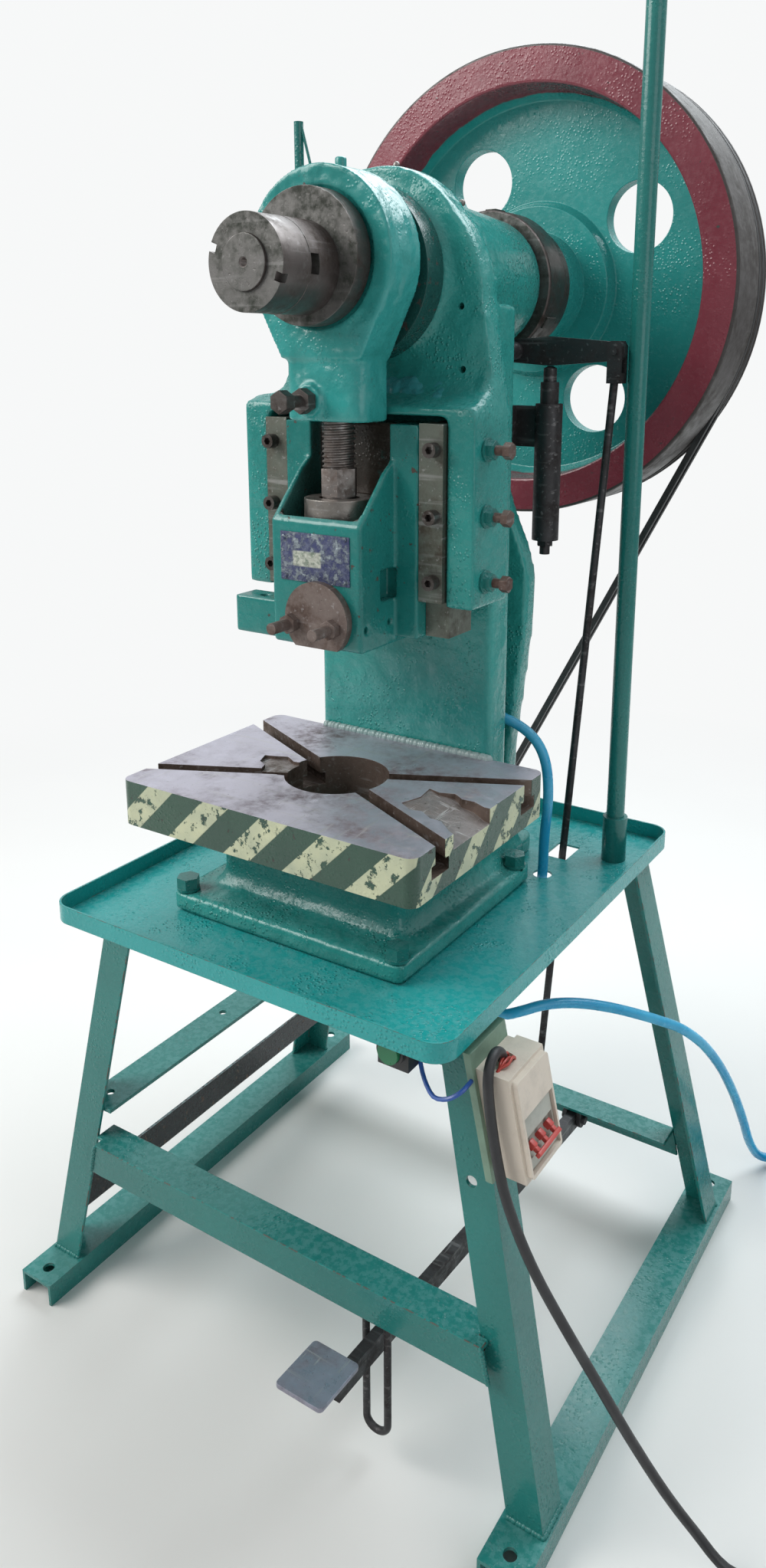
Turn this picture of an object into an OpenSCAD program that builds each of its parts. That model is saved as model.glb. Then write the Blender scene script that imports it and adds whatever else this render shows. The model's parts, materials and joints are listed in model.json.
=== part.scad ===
// Mechanical C-frame stamping press with a rear flywheel, on a welded angle stand.
// Z is up, the front faces -Y and the origin is the middle of the footprint on the floor.
// Sizes are in millimetres. X and Y places are taken from the middle plane of the slide.

/* [Stand] */
// Length of each skid channel
skid_len = 627; // [560:1:760]
// Width of each skid channel
skid_w = 50; // [40:1:70]
// Height of each skid channel
skid_h = 29; // [22:0.5:45]
// Wall of the skid channel
skid_t = 4; // [3:0.5:6]
// Front end of the skids
skid_front_y = -109; // [-140:1:-90]
// Radius of the floor bolt holes in the skids
skid_hole_r = 7; // [5:0.5:9]
// Distance of the floor bolt holes from the skid ends
skid_hole_in = 20; // [15:1:40]
// Height of the legs above the skids
leg_h = 502; // [420:1:620]
// Leaf width of the leg angles
leg_w = 40; // [35:1:50]
// Leaf thickness of the leg angles
leg_t = 4; // [3:0.5:6]
// Half distance over the leg feet
foot_x = 343; // [300:1:360]
// Half distance over the leg tops
top_x = 236; // [215:1:245]
// Front face of the front leg feet
foot_front_y = -60; // [-80:1:-45]
// Front face of the front leg tops
top_front_y = -28; // [-40:1:-15]
// Rear face of the rear leg feet
foot_rear_y = 462; // [430:1:480]
// Rear face of the rear leg tops
top_rear_y = 412; // [395:1:430]
// Top of the front cross angle
front_bar_z = 216; // [190:1:240]
// Leaf width of the front cross angle
front_bar_w = 40; // [35:1:50]
// Front face of the front cross angle
front_bar_y = -62; // [-66:1:-58]
// Top of the rear cross angle
rear_bar_z = 130; // [110:1:150]
// Leaf width of the rear cross angle
rear_bar_w = 38; // [32:1:45]
// Top of the left side rail
side_rail_z = 138; // [120:1:160]
// Height of the left side rail
side_rail_h = 40; // [35:1:50]
// Inner face of the left side rail
side_rail_x = 296; // [285:1:305]
// Underside of the flat motor bar
flat_bar_z = 250; // [235:1:270]
// Thickness of the flat motor bar
flat_bar_t = 5; // [4:0.5:8]
// Inner edge of the flat motor bar
flat_bar_x = 245; // [235:1:255]

/* [Tray] */
// Half width of the tray
tray_x = 250; // [244:1:275]
// Front edge of the tray
tray_front_y = -100; // [-125:1:-85]
// Rear edge of the tray
tray_rear_y = 456; // [430:1:475]
// Sheet thickness of the tray
tray_t = 2.5; // [2:0.5:4]
// Height of the rim above the tray floor
tray_rim = 18; // [12:1:30]
// Corner radius of the tray
tray_r = 24; // [15:1:35]

/* [Frame casting] */
// Half width of the foot flange
base_x = 151; // [140:1:165]
// Front of the foot flange
base_front_y = -16; // [-30:1:0]
// Rear of the wide part of the foot flange
base_rear_y = 265; // [250:1:285]
// Thickness of the foot flange
base_t = 22.5; // [18:0.5:30]
// Half width of the pedestal under the bolster
pedestal_x = 118; // [105:1:128]
// Front of the pedestal
pedestal_front_y = 32; // [20:1:45]
// Height of the pedestal
pedestal_h = 84; // [60:1:110]
// Half width of the column front
column_x = 115; // [105:1:122]
// Front face of the column
column_front_y = 218.5; // [218.5:0.5:235]
// Depth of the front flange of the column
column_flange = 42; // [34:1:50]
// Half width of the column web
web_x = 70; // [55:1:80]
// Front face of the rear flange
rear_flange_y = 298; // [290:1:305]
// Thickness of the rear flange
rear_flange_t = 26; // [20:1:32]
// Half width of the rear flange at its foot
rear_foot_x = 95; // [88:1:102]
// Half width of the rear flange at its widest
rear_belly_x = 117; // [108:1:122]
// Outer face of the guide cheeks
cheek_x = 143.5; // [138:0.5:150]
// Thickness of the guide cheeks
cheek_t = 32.5; // [28:0.5:36]
// Front face of the guide cheeks
cheek_front_y = 125; // [122:1:130]
// Height of the guide cheeks' lower end above the bolster
cheek_rise = 190; // [175:1:205]
// Height of the front lip above the bolster
lip_rise = 381; // [375:1:395]
// Front face of the head wall
wall_y = 172; // [168:1:178]
// Thickness of the head wall
wall_t = 30; // [24:1:40]
// Radius of the head's arch
arch_r = 124; // [118:1:130]
// Drop of the arch centre below the shaft
arch_drop = 28; // [20:1:34]
// Rear end of the bearing hub
hub_y = 400; // [385:1:410]
// Radius of the bearing hub at its rear end
hub_r = 75; // [68:1:82]

/* [Bolster] */
// Half width of the bolster
bolster_x = 185; // [170:1:200]
// Depth of the bolster
bolster_d = 266; // [250:1:266]
// Thickness of the bolster
bolster_t = 50; // [40:1:60]
// Radius of the hole in the bolster
bolster_bore_r = 56.5; // [45:0.5:62]
// Centre of the bolster hole
bore_y = 89; // [86:1:92]
// Width of the clamping slots at the top
slot_w = 16; // [12:1:18]
// Angle of the clamping slots from the side
slot_angle = 26; // [20:1:32]

/* [Slide and guides] */
// Height of the slide above the bolster at rest
daylight = 148; // [142:1:160]
// Half width of the slide front box
box_x = 55.5; // [52:0.5:58]
// Front face of the slide box
box_front_y = 57; // [52:1:62]
// Front face of the guide flanges
flange_front_y = 118; // [112:1:122]
// Height of the slide's guide flanges
slide_h = 217; // [200:1:221]
// Height of the front box up to its pocket rim
box_h = 128; // [120:1:134]
// Back face of the slide
slide_back_y = 181; // [178:1:186]
// Running gap in the guides
guide_gap = 0.3; // [0.2:0.05:0.4]
// Width of the gib strips
gib_w = 28; // [24:0.5:30]
// Front face of the gib strips
gib_front_y = 120; // [116:1:124]
// Height of the vee on the slide flanges
vee = 9; // [6:0.5:11]
// Radius of the die shank hole
shank_r = 16; // [12:0.5:20]
// Radius of the shank clamp cap
cap_r = 39; // [35:1:42]
// Thickness of the shank clamp cap
cap_t = 9; // [7:0.5:12]
// Radius of the screw ball
ball_r = 28; // [24:0.5:30]
// Height of the ball centre above the slide's lower face
ball_rise = 112; // [106:1:118]
// Centre of the adjusting screw
screw_y = 100; // [99:0.5:101]
// Radius of the ball retaining ring
seat_r = 36; // [34:0.5:36.5]
// Height of the ball retaining ring
seat_h = 29; // [25:0.5:33]
// Radius of the adjusting screw
screw_r = 17; // [15:0.5:18]

/* [Drive] */
// Height of the shaft above the bolster
shaft_rise = 518; // [500:1:530]
// Throw of the eccentric
throw = 10; // [6:0.5:12]
// Radius of the front shaft nose
nose_r = 24.7; // [20:0.1:28]
// Front end of the shaft nose
nose_y = -39; // [-45:1:-37]
// Front face of the shaft nut
nut_y = -36; // [-36:1:-30]
// Length of the shaft nut
nut_len = 39; // [32:1:44]
// Thickness of the eccentric's front flange
ecc_flange_t = 22; // [16:1:26]
// Radius of the front shaft nut and jaw ring
nut_r = 42.7; // [38:0.1:46]
// Radius of the eccentric's front flange
ecc_flange_r = 63; // [59:1:66]
// Radius of the eccentric
ecc_r = 36; // [32:1:38]
// Outer radius of the connecting rod eye
eye_r = 85; // [80:1:90]
// Front face of the connecting rod eye
eye_y = 68; // [64:1:72]
// Width of the connecting rod eye
eye_w = 52; // [46:1:52]
// Radius of the connecting rod bore
eye_bore_r = 57.5; // [56:0.5:59]
// Height of the rod's lower end above the bolster
rod_rise = 375; // [368:1:390]
// Half width of the rod's neck
neck_x = 46; // [40:1:54]
// Radius of the crankshaft's inner flange
crank_flange_r = 86; // [80:1:92]
// Radius of the main shaft
shaft_r = 32; // [28:1:36]
// Radial running clearance of the shafts
run_gap = 0.06; // [0.04:0.01:0.1]
// Outer radius of the flywheel
fly_r = 279; // [262:1:290]
// Inner radius of the flywheel rim
fly_rim_r = 234; // [225:1:240]
// Front face of the flywheel rim
fly_y = 483; // [475:1:490]
// Width of the flywheel rim
fly_w = 110; // [100:1:120]
// Radius of the flywheel holes
fly_hole_r = 42; // [36:1:46]
// Pitch radius of the flywheel holes
fly_pitch_r = 158; // [152:1:164]
// Radius of the flywheel hub
fly_hub_r = 102; // [90:1:108]
// Thickness of the flywheel web
fly_web_t = 22; // [18:1:30]
// Top width of the belt grooves
belt_w = 10; // [8:0.5:12]
// Spacing of the belt grooves
belt_pitch = 15; // [13:0.5:18]
// Outside radius of the motor pulley
pulley_r = 45; // [38:1:52]
// Half distance of the motor from the middle
motor_x = 177; // [170:1:182]
// Height of the motor axis
motor_z = 346; // [338:1:352]
// Radius of the motor body
motor_r = 56; // [48:1:57]

/* [Trip and pedal] */
// Plane of the trip lever and the pull rod
trip_y = 356; // [352:1:362]
// Height of the trip pivot above the bolster
trip_rise = 443; // [438:1:448]
// Distance of the trip pivot from the middle
trip_x = 68; // [66:1:70]
// Length of the trip lever between its pins
trip_len = 122; // [119:1:123]
// Thickness of the trip lever
trip_t = 10; // [8:1:12]
// Radius of the pull rod
pull_r = 4.5; // [4:0.5:5]
// Length of the spring housing
housing_len = 156; // [140:1:170]
// Drop of the spring housing below the trip pivot
housing_drop = 58; // [54:1:62]
// Distance of the spring plunger from the middle
plunger_x = 110; // [108:1:116]
// Height of the pedal pivot above the floor
pedal_z = 108; // [104:1:112]
// Rise of the pedal arm from its pivot to its front end
pedal_rise = 44; // [34:1:52]
// Pedal pivot from the slide's middle plane
pedal_pivot_y = 428; // [424:1:430]
// Front edge of the pedal plate
pedal_front_y = -165; // [-180:1:-150]
// Width of the pedal plate
pedal_w = 56; // [50:1:64]
// Length of the pedal plate
pedal_d = 65; // [60:1:74]

/* [Pipes and electrics] */
// Outer radius of the tall post
post_r = 10.7; // [9:0.1:13]
// Height of the tall post above the tray
post_h = 986; // [900:1:1050]
// Sideways place of the tall post
post_x = 209; // [200:1:220]
// Depth place of the tall post
post_y = 370; // [355:1:385]
// Switch box depth
switch_d = 50; // [46:1:60]
// Switch box width
switch_w = 68; // [67:1:80]
// Switch box height
switch_h = 100; // [92:1:110]
// Radius of the power cable
cable_r = 5.5; // [4.5:0.5:6.5]
// Radius of the air hose
hose_r = 6; // [5:0.5:7]

/* [View] */
// Sub-part to show

/* [Hidden] */
$fn = 40;
deck_z = skid_h + leg_h;
floor_z = deck_z + tray_t;
base_z = floor_z + base_t;
bolster_z = base_z + pedestal_h;
table_z = bolster_z + bolster_t;
shaft_z = table_z + shaft_rise;
slide_z = table_z + daylight;
ball_z = slide_z + ball_rise;
eye_z = shaft_z + throw;
arch_z = shaft_z - arch_drop;
cheek_z = table_z + cheek_rise;
lip_z = table_z + lip_rise;
trip_z = table_z + trip_rise;
flange_x = cheek_x - cheek_t - gib_w - guide_gap;
pocket_x = cheek_x - cheek_t;
bolster_front_y = column_front_y - bolster_d;
hub_end_y = fly_y + fly_w + 17;
eye_back_y = eye_y + eye_w;
ecc_front_y = eye_y - 0.3 - ecc_flange_t;
pivot_x = trip_x + trip_len;
hold_down_r = 8;
hold_down_points = [for (x = [-1, 1], y = [base_front_y + 14, base_rear_y - 20]) [x * (base_x - 13), y]];
hose_hole = [155, 285];
arm_t = 12;
arm_h = 24;
pedal_tilt = atan(pedal_rise / (pedal_pivot_y - pedal_front_y));
hook_d = pedal_pivot_y - trip_y;
hook_z = pedal_z + hook_d * tan(pedal_tilt);
guide_r = 4;
mid_y = (pedal_front_y + hub_end_y) / 2;
rear_y = rear_flange_y + rear_flange_t;
enamel = [0.16, 0.50, 0.45];
bare = [0.38, 0.35, 0.33];
dark = [0.13, 0.13, 0.14];

// Flat outlines are lifted along one axis between two planes.
module xy(z0, z1) translate([0, 0, z0]) linear_extrude(z1 - z0) children();
module xz(y0, y1) translate([0, y1, 0]) rotate([90, 0, 0]) linear_extrude(y1 - y0) children();
module yz(x0, x1) translate([x0, 0, 0]) rotate([90, 0, 90]) linear_extrude(x1 - x0) children();
module rod_x(y, z, r, x0, x1) translate([x0, y, z]) rotate([0, 90, 0]) cylinder(r = r, h = x1 - x0);
module rod_y(x, z, r, y0, y1) translate([x, y0, z]) rotate([-90, 0, 0]) cylinder(r = r, h = y1 - y0);
module rod_z(x, y, r, z0, z1) translate([x, y, z0]) cylinder(r = r, h = z1 - z0);
module turned_y(x, z) translate([x, 0, z]) rotate([-90, 0, 0]) rotate_extrude() children();
module rect(x0, y0, x1, y1) translate([x0, y0]) square([x1 - x0, y1 - y0]);
module round_rect(x0, y0, x1, y1, r) translate([x0 + r, y0 + r]) offset(r) square([x1 - x0 - 2 * r, y1
    - y0 - 2 * r]);
module hex_y(x, z, af, y0, y1) translate([x, y0, z]) rotate([-90, 30, 0]) cylinder(d = af / cos(30), h
    = y1 - y0, $fn = 6);
module hex_x(y, z, af, x0, x1) translate([x0, y, z]) rotate([0, 90, 0]) cylinder(d = af / cos(30), h =
    x1 - x0, $fn = 6);
module hex_z(x, y, af, z0, z1) translate([x, y, z0]) cylinder(d = af / cos(30), h = z1 - z0, $fn = 6);
module both_sides() { children(); mirror([1, 0, 0]) children(); }
module placed() translate([0, -mid_y, 0]) children();
function ease(t) = let (u = min(1, max(0, t))) u * u * (3 - 2 * u);
function along(a, b, t) = a + (b - a) * t;

// Leg planes: the outer corner of a leg at height z.
function leg_x(z) = along(foot_x, top_x, (z - skid_h) / leg_h);
function leg_fy(z) = along(foot_front_y, top_front_y, (z - skid_h) / leg_h);
function leg_ry(z) = along(foot_rear_y, top_rear_y, (z - skid_h) / leg_h);

module leg_solid(sx, front) {
  fy = front ? foot_front_y : foot_rear_y;
  ty = front ? top_front_y : top_rear_y;
  sy = front ? 1 : -1;
  multmatrix([[1, 0, sx * (top_x - foot_x) / leg_h, sx * foot_x],
              [0, 1, (ty - fy) / leg_h, fy],
              [0, 0, 1, skid_h]])
    linear_extrude(leg_h)
      scale([-sx, sy])
        difference() {
          square(leg_w);
          translate([leg_t, leg_t]) square(leg_w);
        }
}

module skid(sx) {
  xc = foot_x + 4 - skid_w / 2;
  translate([sx * xc, 0, 0])
    difference() {
      xz(skid_front_y, skid_front_y + skid_len)
        difference() {
          rect(-skid_w / 2, 0, skid_w / 2, skid_h);
          rect(-skid_w / 2 + skid_t, -1, skid_w / 2 - skid_t, skid_h - skid_t);
        }
      for (y = [skid_front_y + skid_hole_in, skid_front_y + skid_len - skid_hole_in])
        rod_z(0, y, skid_hole_r, skid_h - skid_t - 1, skid_h + 1);
    }
}
module skid_left() color(enamel) placed() skid(-1);
module skid_right() color(enamel) placed() skid(1);

module leg_front_left() color(enamel) placed() leg_solid(-1, true);
module leg_front_right() color(enamel) placed()
  difference() {
    leg_solid(1, true);
    rod_y(leg_x(373) - 25, 373, 6, foot_front_y, top_front_y + leg_t + 4);
  }
module leg_rear_left() color(enamel) placed() leg_solid(-1, false);
module leg_rear_right() color(enamel) placed() leg_solid(1, false);

// Cross angles stand between the leaf edges of two legs and follow their slope.
module between_legs(z0, z1) {
  a = leg_x(z0) - leg_w;
  b = leg_x(z1) - leg_w;
  polygon([[-a, z0], [a, z0], [b, z1], [-b, z1]]);
}
module crossbar_front() color(enamel) placed() {
  y1 = leg_fy(front_bar_z - leg_t) - 1;
  translate([9, 0, 0]) {
    xz(front_bar_y, front_bar_y + leg_t) between_legs(front_bar_z - front_bar_w, front_bar_z);
    xz(front_bar_y, y1) between_legs(front_bar_z - leg_t, front_bar_z);
  }
  xz(y1, front_bar_y + front_bar_w) between_legs(front_bar_z - leg_t, front_bar_z);
}
module crossbar_rear() color(enamel) placed() {
  y1 = leg_ry(rear_bar_z);
  xz(y1 - leg_t, y1) between_legs(rear_bar_z - rear_bar_w, rear_bar_z);
  xz(y1 - rear_bar_w, y1) between_legs(rear_bar_z - leg_t, rear_bar_z);
}
// Side members run from the front leg's leaf to the rear leg's leaf, inside the left legs.
module side_span(z0, z1)
  polygon([[leg_fy(z0) + leg_t, z0], [leg_ry(z0) - leg_t, z0],
           [leg_ry(z1) - leg_t, z1], [leg_fy(z1) + leg_t, z1]]);
module side_rail() color(dark) placed() {
  z0 = side_rail_z - side_rail_h;
  intersection() {
    yz(-foot_x, 0) side_span(z0, side_rail_z);
    xz(foot_front_y, foot_rear_y) {
      rect(-side_rail_x - leg_t, z0, -side_rail_x, side_rail_z);
      polygon([[-side_rail_x, z0], [-side_rail_x, z0 + leg_t],
               [-leg_x(z0 + leg_t) + leg_t, z0 + leg_t], [-leg_x(z0) + leg_t, z0]]);
    }
  }
}
module flat_bar() color(enamel) placed() {
  z1 = flat_bar_z + flat_bar_t;
  difference() {
    intersection() {
      yz(-foot_x, 0) side_span(flat_bar_z, z1);
      xz(foot_front_y, foot_rear_y)
        polygon([[-flat_bar_x, flat_bar_z], [-flat_bar_x, z1],
                 [-leg_x(z1) + leg_t, z1], [-leg_x(flat_bar_z) + leg_t, flat_bar_z]]);
    }
    for (y = [-17, 187])
      rod_z(-flat_bar_x - 26, y, 5, flat_bar_z - 1, z1 + 1);
  }
}

module tray_outline(in) round_rect(-tray_x + in, tray_front_y + in, tray_x - in, tray_rear_y - in,
    tray_r - in);
module tray() color(enamel) placed()
  difference() {
    xy(deck_z, floor_z + tray_rim) tray_outline(0);
    xy(floor_z, floor_z + tray_rim + 1) tray_outline(tray_t);
    xy(deck_z - 1, floor_z + 1) {
      rect(pull_x(floor_z) - 14, trip_y - 22, pull_x(floor_z) + 14, trip_y + 20);
      translate([hose_hole.x, hose_hole.y]) circle(hose_r + 5);
      for (p = hold_down_points)
        translate(p) circle(hold_down_r + 0.5);
    }
  }

// The frame is one casting: foot, pedestal, column, cheeks, head wall and bearing hub.
function rear_half(z) =
  rear_foot_x + (rear_belly_x - rear_foot_x) * ease((z - table_z + 90) / 278)
  - (rear_belly_x - hub_r - 3) * ease((z - cheek_z + 2) / 122);
module rear_outline() {
  n = 18;
  zs = [for (i = [0:n]) along(base_z, shaft_z, i / n)];
  polygon(concat([for (z = zs) [rear_half(z), z]],
                 [for (i = [n:-1:0]) [-rear_half(zs[i]), zs[i]]]));
}
module head_outline() {
  intersection() {
    translate([0, arch_z]) circle(arch_r, $fn = 72);
    rect(-arch_r, lip_z, arch_r, arch_z + arch_r);
  }
  polygon([[-arch_r, arch_z], [arch_r, arch_z], [cheek_x, lip_z], [-cheek_x, lip_z], [-cheek_x, lip_z + 15],
           [4 - arch_r, lip_z + 17]]);
}
module base_outline() {
  round_rect(-base_x, base_front_y, base_x, base_rear_y, 12);
  round_rect(-rear_foot_x - 20, base_rear_y - 60, rear_foot_x + 20, rear_y + 26, 24);
}
module pedestal_outline(grow) offset(r = grow) round_rect(-pedestal_x, pedestal_front_y, pedestal_x,
    rear_flange_y, 10);
module cheek_outline()
  polygon([[pocket_x, cheek_front_y], [cheek_x, cheek_front_y], [cheek_x, wall_y + 26],
           [column_x, column_front_y + 12], [web_x, column_front_y + 12], [web_x, slide_back_y + guide_gap],
           [pocket_x, slide_back_y + guide_gap]]);
module hub_profile() {
  rect(0, wall_y - 7, crank_flange_r - 3, wall_y + 1);
  polygon([[0, wall_y], [arch_r - 18, wall_y], [arch_r - 18, wall_y + wall_t], [hub_r + 17, wall_y +
      wall_t + 8],
           [hub_r + 9, wall_y + wall_t + 22], [hub_r + 6, hub_y - 90], [hub_r, hub_y - 6],
           [hub_r - 3, hub_y], [0, hub_y]]);
}
bolt_zs = [for (i = [0:2]) cheek_z + 27 + 66 * i];
bolt_y = 150;
module frame_casting() color(enamel) placed()
  difference() {
    union() {
      xy(floor_z, base_z) base_outline();
      xy(base_z, bolster_z) pedestal_outline(0);
      translate([0, 0, base_z]) {
        linear_extrude(6) pedestal_outline(7);
        translate([0, 0, 6]) linear_extrude(7) pedestal_outline(3);
      }
      xz(column_front_y, column_front_y + column_flange)
        rect(-column_x, bolster_z, column_x, arch_z);
      xz(column_front_y + column_flange, rear_flange_y)
        rect(-web_x, bolster_z, web_x, arch_z);
      xz(rear_flange_y, rear_y) rear_outline();
      both_sides() xy(cheek_z, lip_z) cheek_outline();
      xy(cheek_z, lip_z) rect(-web_x - 1, slide_back_y + guide_gap, web_x + 1, column_front_y + 1);
      xz(wall_y, wall_y + wall_t) head_outline();
      xz(wall_y + wall_t, column_front_y + 1)
        intersection() {
          head_outline();
          rect(-column_x, lip_z - 1, column_x, shaft_z);
        }
      intersection() {
        xz(cheek_front_y, wall_y + 1) head_outline();
        yz(-cheek_x, cheek_x)
          polygon([[cheek_front_y, lip_z], [cheek_front_y, lip_z + 8], [cheek_front_y + 18, lip_z + 14],
                   [wall_y - 12, lip_z + 24], [wall_y + 1, lip_z + 42], [wall_y + 1, lip_z]]);
      }
      turned_y(0, shaft_z) hub_profile();
    }
    rod_y(0, shaft_z, shaft_r + run_gap, wall_y - 20, hub_y + 1);
    rod_z(0, bore_y, bolster_bore_r - 6, floor_z - 1, bolster_z + 1);
    for (p = hold_down_points)
      rod_z(p.x, p.y, hold_down_r + 0.5, floor_z - 1, base_z + 1);
    for (z = bolt_zs)
      rod_x(bolt_y, z, 5.2, pocket_x - 1, cheek_x + 1, $fn = 16);
    rod_y(trip_x, trip_z, 6, rear_y - 18, rear_y + 1, $fn = 20);
    rod_x(279, 722, 6, web_x - 14, web_x + 1, $fn = 20);
  }

// T-slots run out from the hole to the four corners.
module slot_cut(a) rotate([0, 0, a]) {
  translate([0, -slot_w / 2, bolster_t - 20]) cube([bolster_x * 1.4, slot_w, 21]);
  translate([0, -slot_w / 2 - 6, bolster_t - 32]) cube([bolster_x * 1.4, slot_w + 12, 13]);
}
module bolster() color([0.35, 0.33, 0.37]) placed()
  translate([0, 0, bolster_z])
    difference() {
      linear_extrude(bolster_t) round_rect(-bolster_x, bolster_front_y, bolster_x, column_front_y, 12);
      translate([0, bore_y, 0]) {
        translate([0, 0, -1]) cylinder(r = bolster_bore_r, h = bolster_t + 2, $fn = 72);
        for (a = [slot_angle, 180 - slot_angle, 180 + slot_angle, -slot_angle])
          slot_cut(a);
      }
    }
module hold_down_bolts() color(dark) placed()
  for (p = hold_down_points) {
    rod_z(p.x, p.y, hold_down_r, deck_z - 20, base_z + 1, $fn = 20);
    rod_z(p.x, p.y, 12.5, base_z, base_z + 3, $fn = 28);
    hex_z(p.x, p.y, 22, base_z + 3, base_z + 15);
    hex_z(p.x, p.y, 22, deck_z - 13, deck_z);
  }

// The slide runs in vee guides; the gibs follow its outline with the running gap.
module slide_way(grow) {
  m = (flange_front_y + slide_back_y) / 2;
  offset(delta = grow)
    polygon([[0, flange_front_y], [flange_x, flange_front_y], [flange_x, m - vee], [flange_x + vee, m],
             [flange_x, m + vee], [flange_x, slide_back_y], [0, slide_back_y]]);
}
module gib(z0, z1) {
  xy(z0, z1)
    difference() {
      rect(pocket_x - gib_w, gib_front_y, pocket_x, slide_back_y + guide_gap);
      slide_way(guide_gap);
    }
}
gib_z0 = cheek_z + 5;
gib_z1 = lip_z - 7;
module screw_holes()
  for (z = bolt_zs)
    rod_y(pocket_x - gib_w / 2 + 4, z, 4, gib_front_y - 1, gib_front_y + 14, $fn = 16);
module gib_right() color(bare) placed()
  difference() {
    gib(cheek_z - 34, gib_z1);
    xy(cheek_z - 35, gib_z0) rect(flange_x, gib_front_y - 1, pocket_x + 1, gib_front_y + 15);
    screw_holes();
  }
module gib_left() color(bare) placed() mirror([1, 0, 0])
  difference() {
    gib(gib_z0, gib_z1);
    screw_holes();
  }
module gib_screws() color(dark) placed()
  both_sides()
    for (z = bolt_zs)
      translate([pocket_x - gib_w / 2 + 4, gib_front_y, z]) rotate([90, 0, 0]) {
        translate([0, 0, -14]) cylinder(r = 4, h = 14, $fn = 16);
        difference() {
          cylinder(r = 7.5, h = 11, $fn = 20);
          translate([0, 0, 5]) cylinder(r = 4, h = 7, $fn = 6);
        }
      }
module adjusting_bolts() color(bare) placed()
  for (z = bolt_zs) {
    rod_x(bolt_y, z, 5, pocket_x, cheek_x + 22, $fn = 16);
    rod_x(bolt_y, z, 12, cheek_x, cheek_x + 2.5, $fn = 24);
    hex_x(bolt_y, z, 17, cheek_x + 2.5, cheek_x + 10);
    hex_x(bolt_y, z, 15, cheek_x + 20, cheek_x + 28);
  }
module nipple() {
  cylinder(d = 12 / cos(30), h = 5, $fn = 6);
  cylinder(r = 3, h = 12, $fn = 16);
  translate([0, 0, 12]) sphere(3.6, $fn = 12);
}
module grease_nipples() color(bare) placed() {
  y1 = wall_y + 13;
  difference() {
    union() {
      translate([14, y1, arch_z + sqrt(arch_r * arch_r - 196) - 1]) nipple();
      translate([62, wall_y + wall_t + 18, shaft_z + 62]) rotate([0, 45, 0]) nipple();
    }
    xz(wall_y, wall_y + wall_t) head_outline();
    turned_y(0, shaft_z) hub_profile();
  }
}
module tall_post() color(enamel) placed() {
  difference() {
    union() {
      rod_z(post_x, post_y, post_r, floor_z, floor_z + post_h, $fn = 32);
      rod_z(post_x, post_y, post_r + 4, floor_z, floor_z + 56, $fn = 32);
    }
    rod_z(post_x, post_y, post_r - 2.6, floor_z + 60, floor_z + post_h + 1, $fn = 24);
  }
}
module head_post() color(enamel) placed()
  difference() {
    union() {
      rod_z(-113, wall_y + 18, 5, arch_z + 40, arch_z + 187, $fn = 20);
      translate([-110, wall_y + 18, arch_z + 185]) rotate([0, 164, 0]) cylinder(r = 1.5, h = 120, $fn = 10);
    }
    xz(wall_y, wall_y + wall_t) head_outline();
  }

// Slide: front box with an open pocket for the screw, guide flanges, shank hole.
pocket_z = slide_z + ball_rise + 9;
module slide() color(enamel) placed()
  difference() {
    union() {
      xy(slide_z + 7, slide_z + 7 + slide_h) both_sides() slide_way(0);
      yz(-box_x, box_x)
        polygon([[box_front_y, slide_z + 3], [box_front_y + 3, slide_z], [slide_back_y, slide_z],
                 [slide_back_y, slide_z + slide_h], [flange_front_y, slide_z + box_h + 60],
                 [flange_front_y - 15, slide_z + box_h + 49], [box_front_y, slide_z + box_h]]);
      xy(slide_z + 1, slide_z + 41) rect(-2 * box_x - 4, box_front_y + 9, 1 - box_x, box_front_y + 43);
    }
    rod_z(-1.55 * box_x, box_front_y + 25, 5, slide_z, slide_z + 42, $fn = 20);
    xy(pocket_z, slide_z + slide_h + 30)
      round_rect(-box_x + 6.5, screw_y - seat_r - 1, box_x - 6.5, screw_y + seat_r + 4, 8);
    translate([0, screw_y, ball_z]) sphere(ball_r + 0.3, $fn = 40);
    translate([0, bore_y, slide_z - 1]) cylinder(r = shank_r, h = 56, $fn = 40);
    both_sides() {
      xy(slide_z + 48, slide_z + 80) rect(box_x - 14, flange_front_y - 24, box_x + 1, flange_front_y + 6);
      rod_x(box_front_y + 11, slide_z + 23, 3.5, box_x - 12, box_x + 1, $fn = 16);
      rod_x(flange_front_y - 8, slide_z + 24, 3.5, box_x - 12, box_x + 1, $fn = 16);
    }
    for (x = [-24, 27])
      rod_y(x, slide_z + 25, 6, box_front_y - 1, box_front_y + 16, $fn = 20);
  }
module shank_cap() color(bare) placed()
  difference() {
    intersection() {
      rod_y(6, slide_z + 31, cap_r, box_front_y - cap_t, box_front_y, $fn = 56);
      xz(box_front_y - cap_t, box_front_y) rect(-cap_r, slide_z + 2, cap_r + 12, slide_z + 90);
    }
    for (x = [-24, 27])
      rod_y(x, slide_z + 25, 6, box_front_y - cap_t - 1, box_front_y + 1, $fn = 20);
  }
module shank_studs() color(bare) placed()
  for (x = [-24, 27]) {
    rod_y(x, slide_z + 25, 6, box_front_y - cap_t - 34, box_front_y + 16, $fn = 20);
    hex_y(x, slide_z + 25, 18, box_front_y - cap_t - 9, box_front_y - cap_t);
  }
module ball_ring() color(bare) placed()
  translate([0, screw_y, 0])
    difference() {
      rod_z(0, 0, seat_r, pocket_z, pocket_z + seat_h, $fn = 56);
      translate([0, 0, ball_z]) sphere(ball_r + 0.3, $fn = 40);
      rod_z(0, 0, screw_r + 3.5, pocket_z + 4, pocket_z + seat_h + 1);
    }

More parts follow.
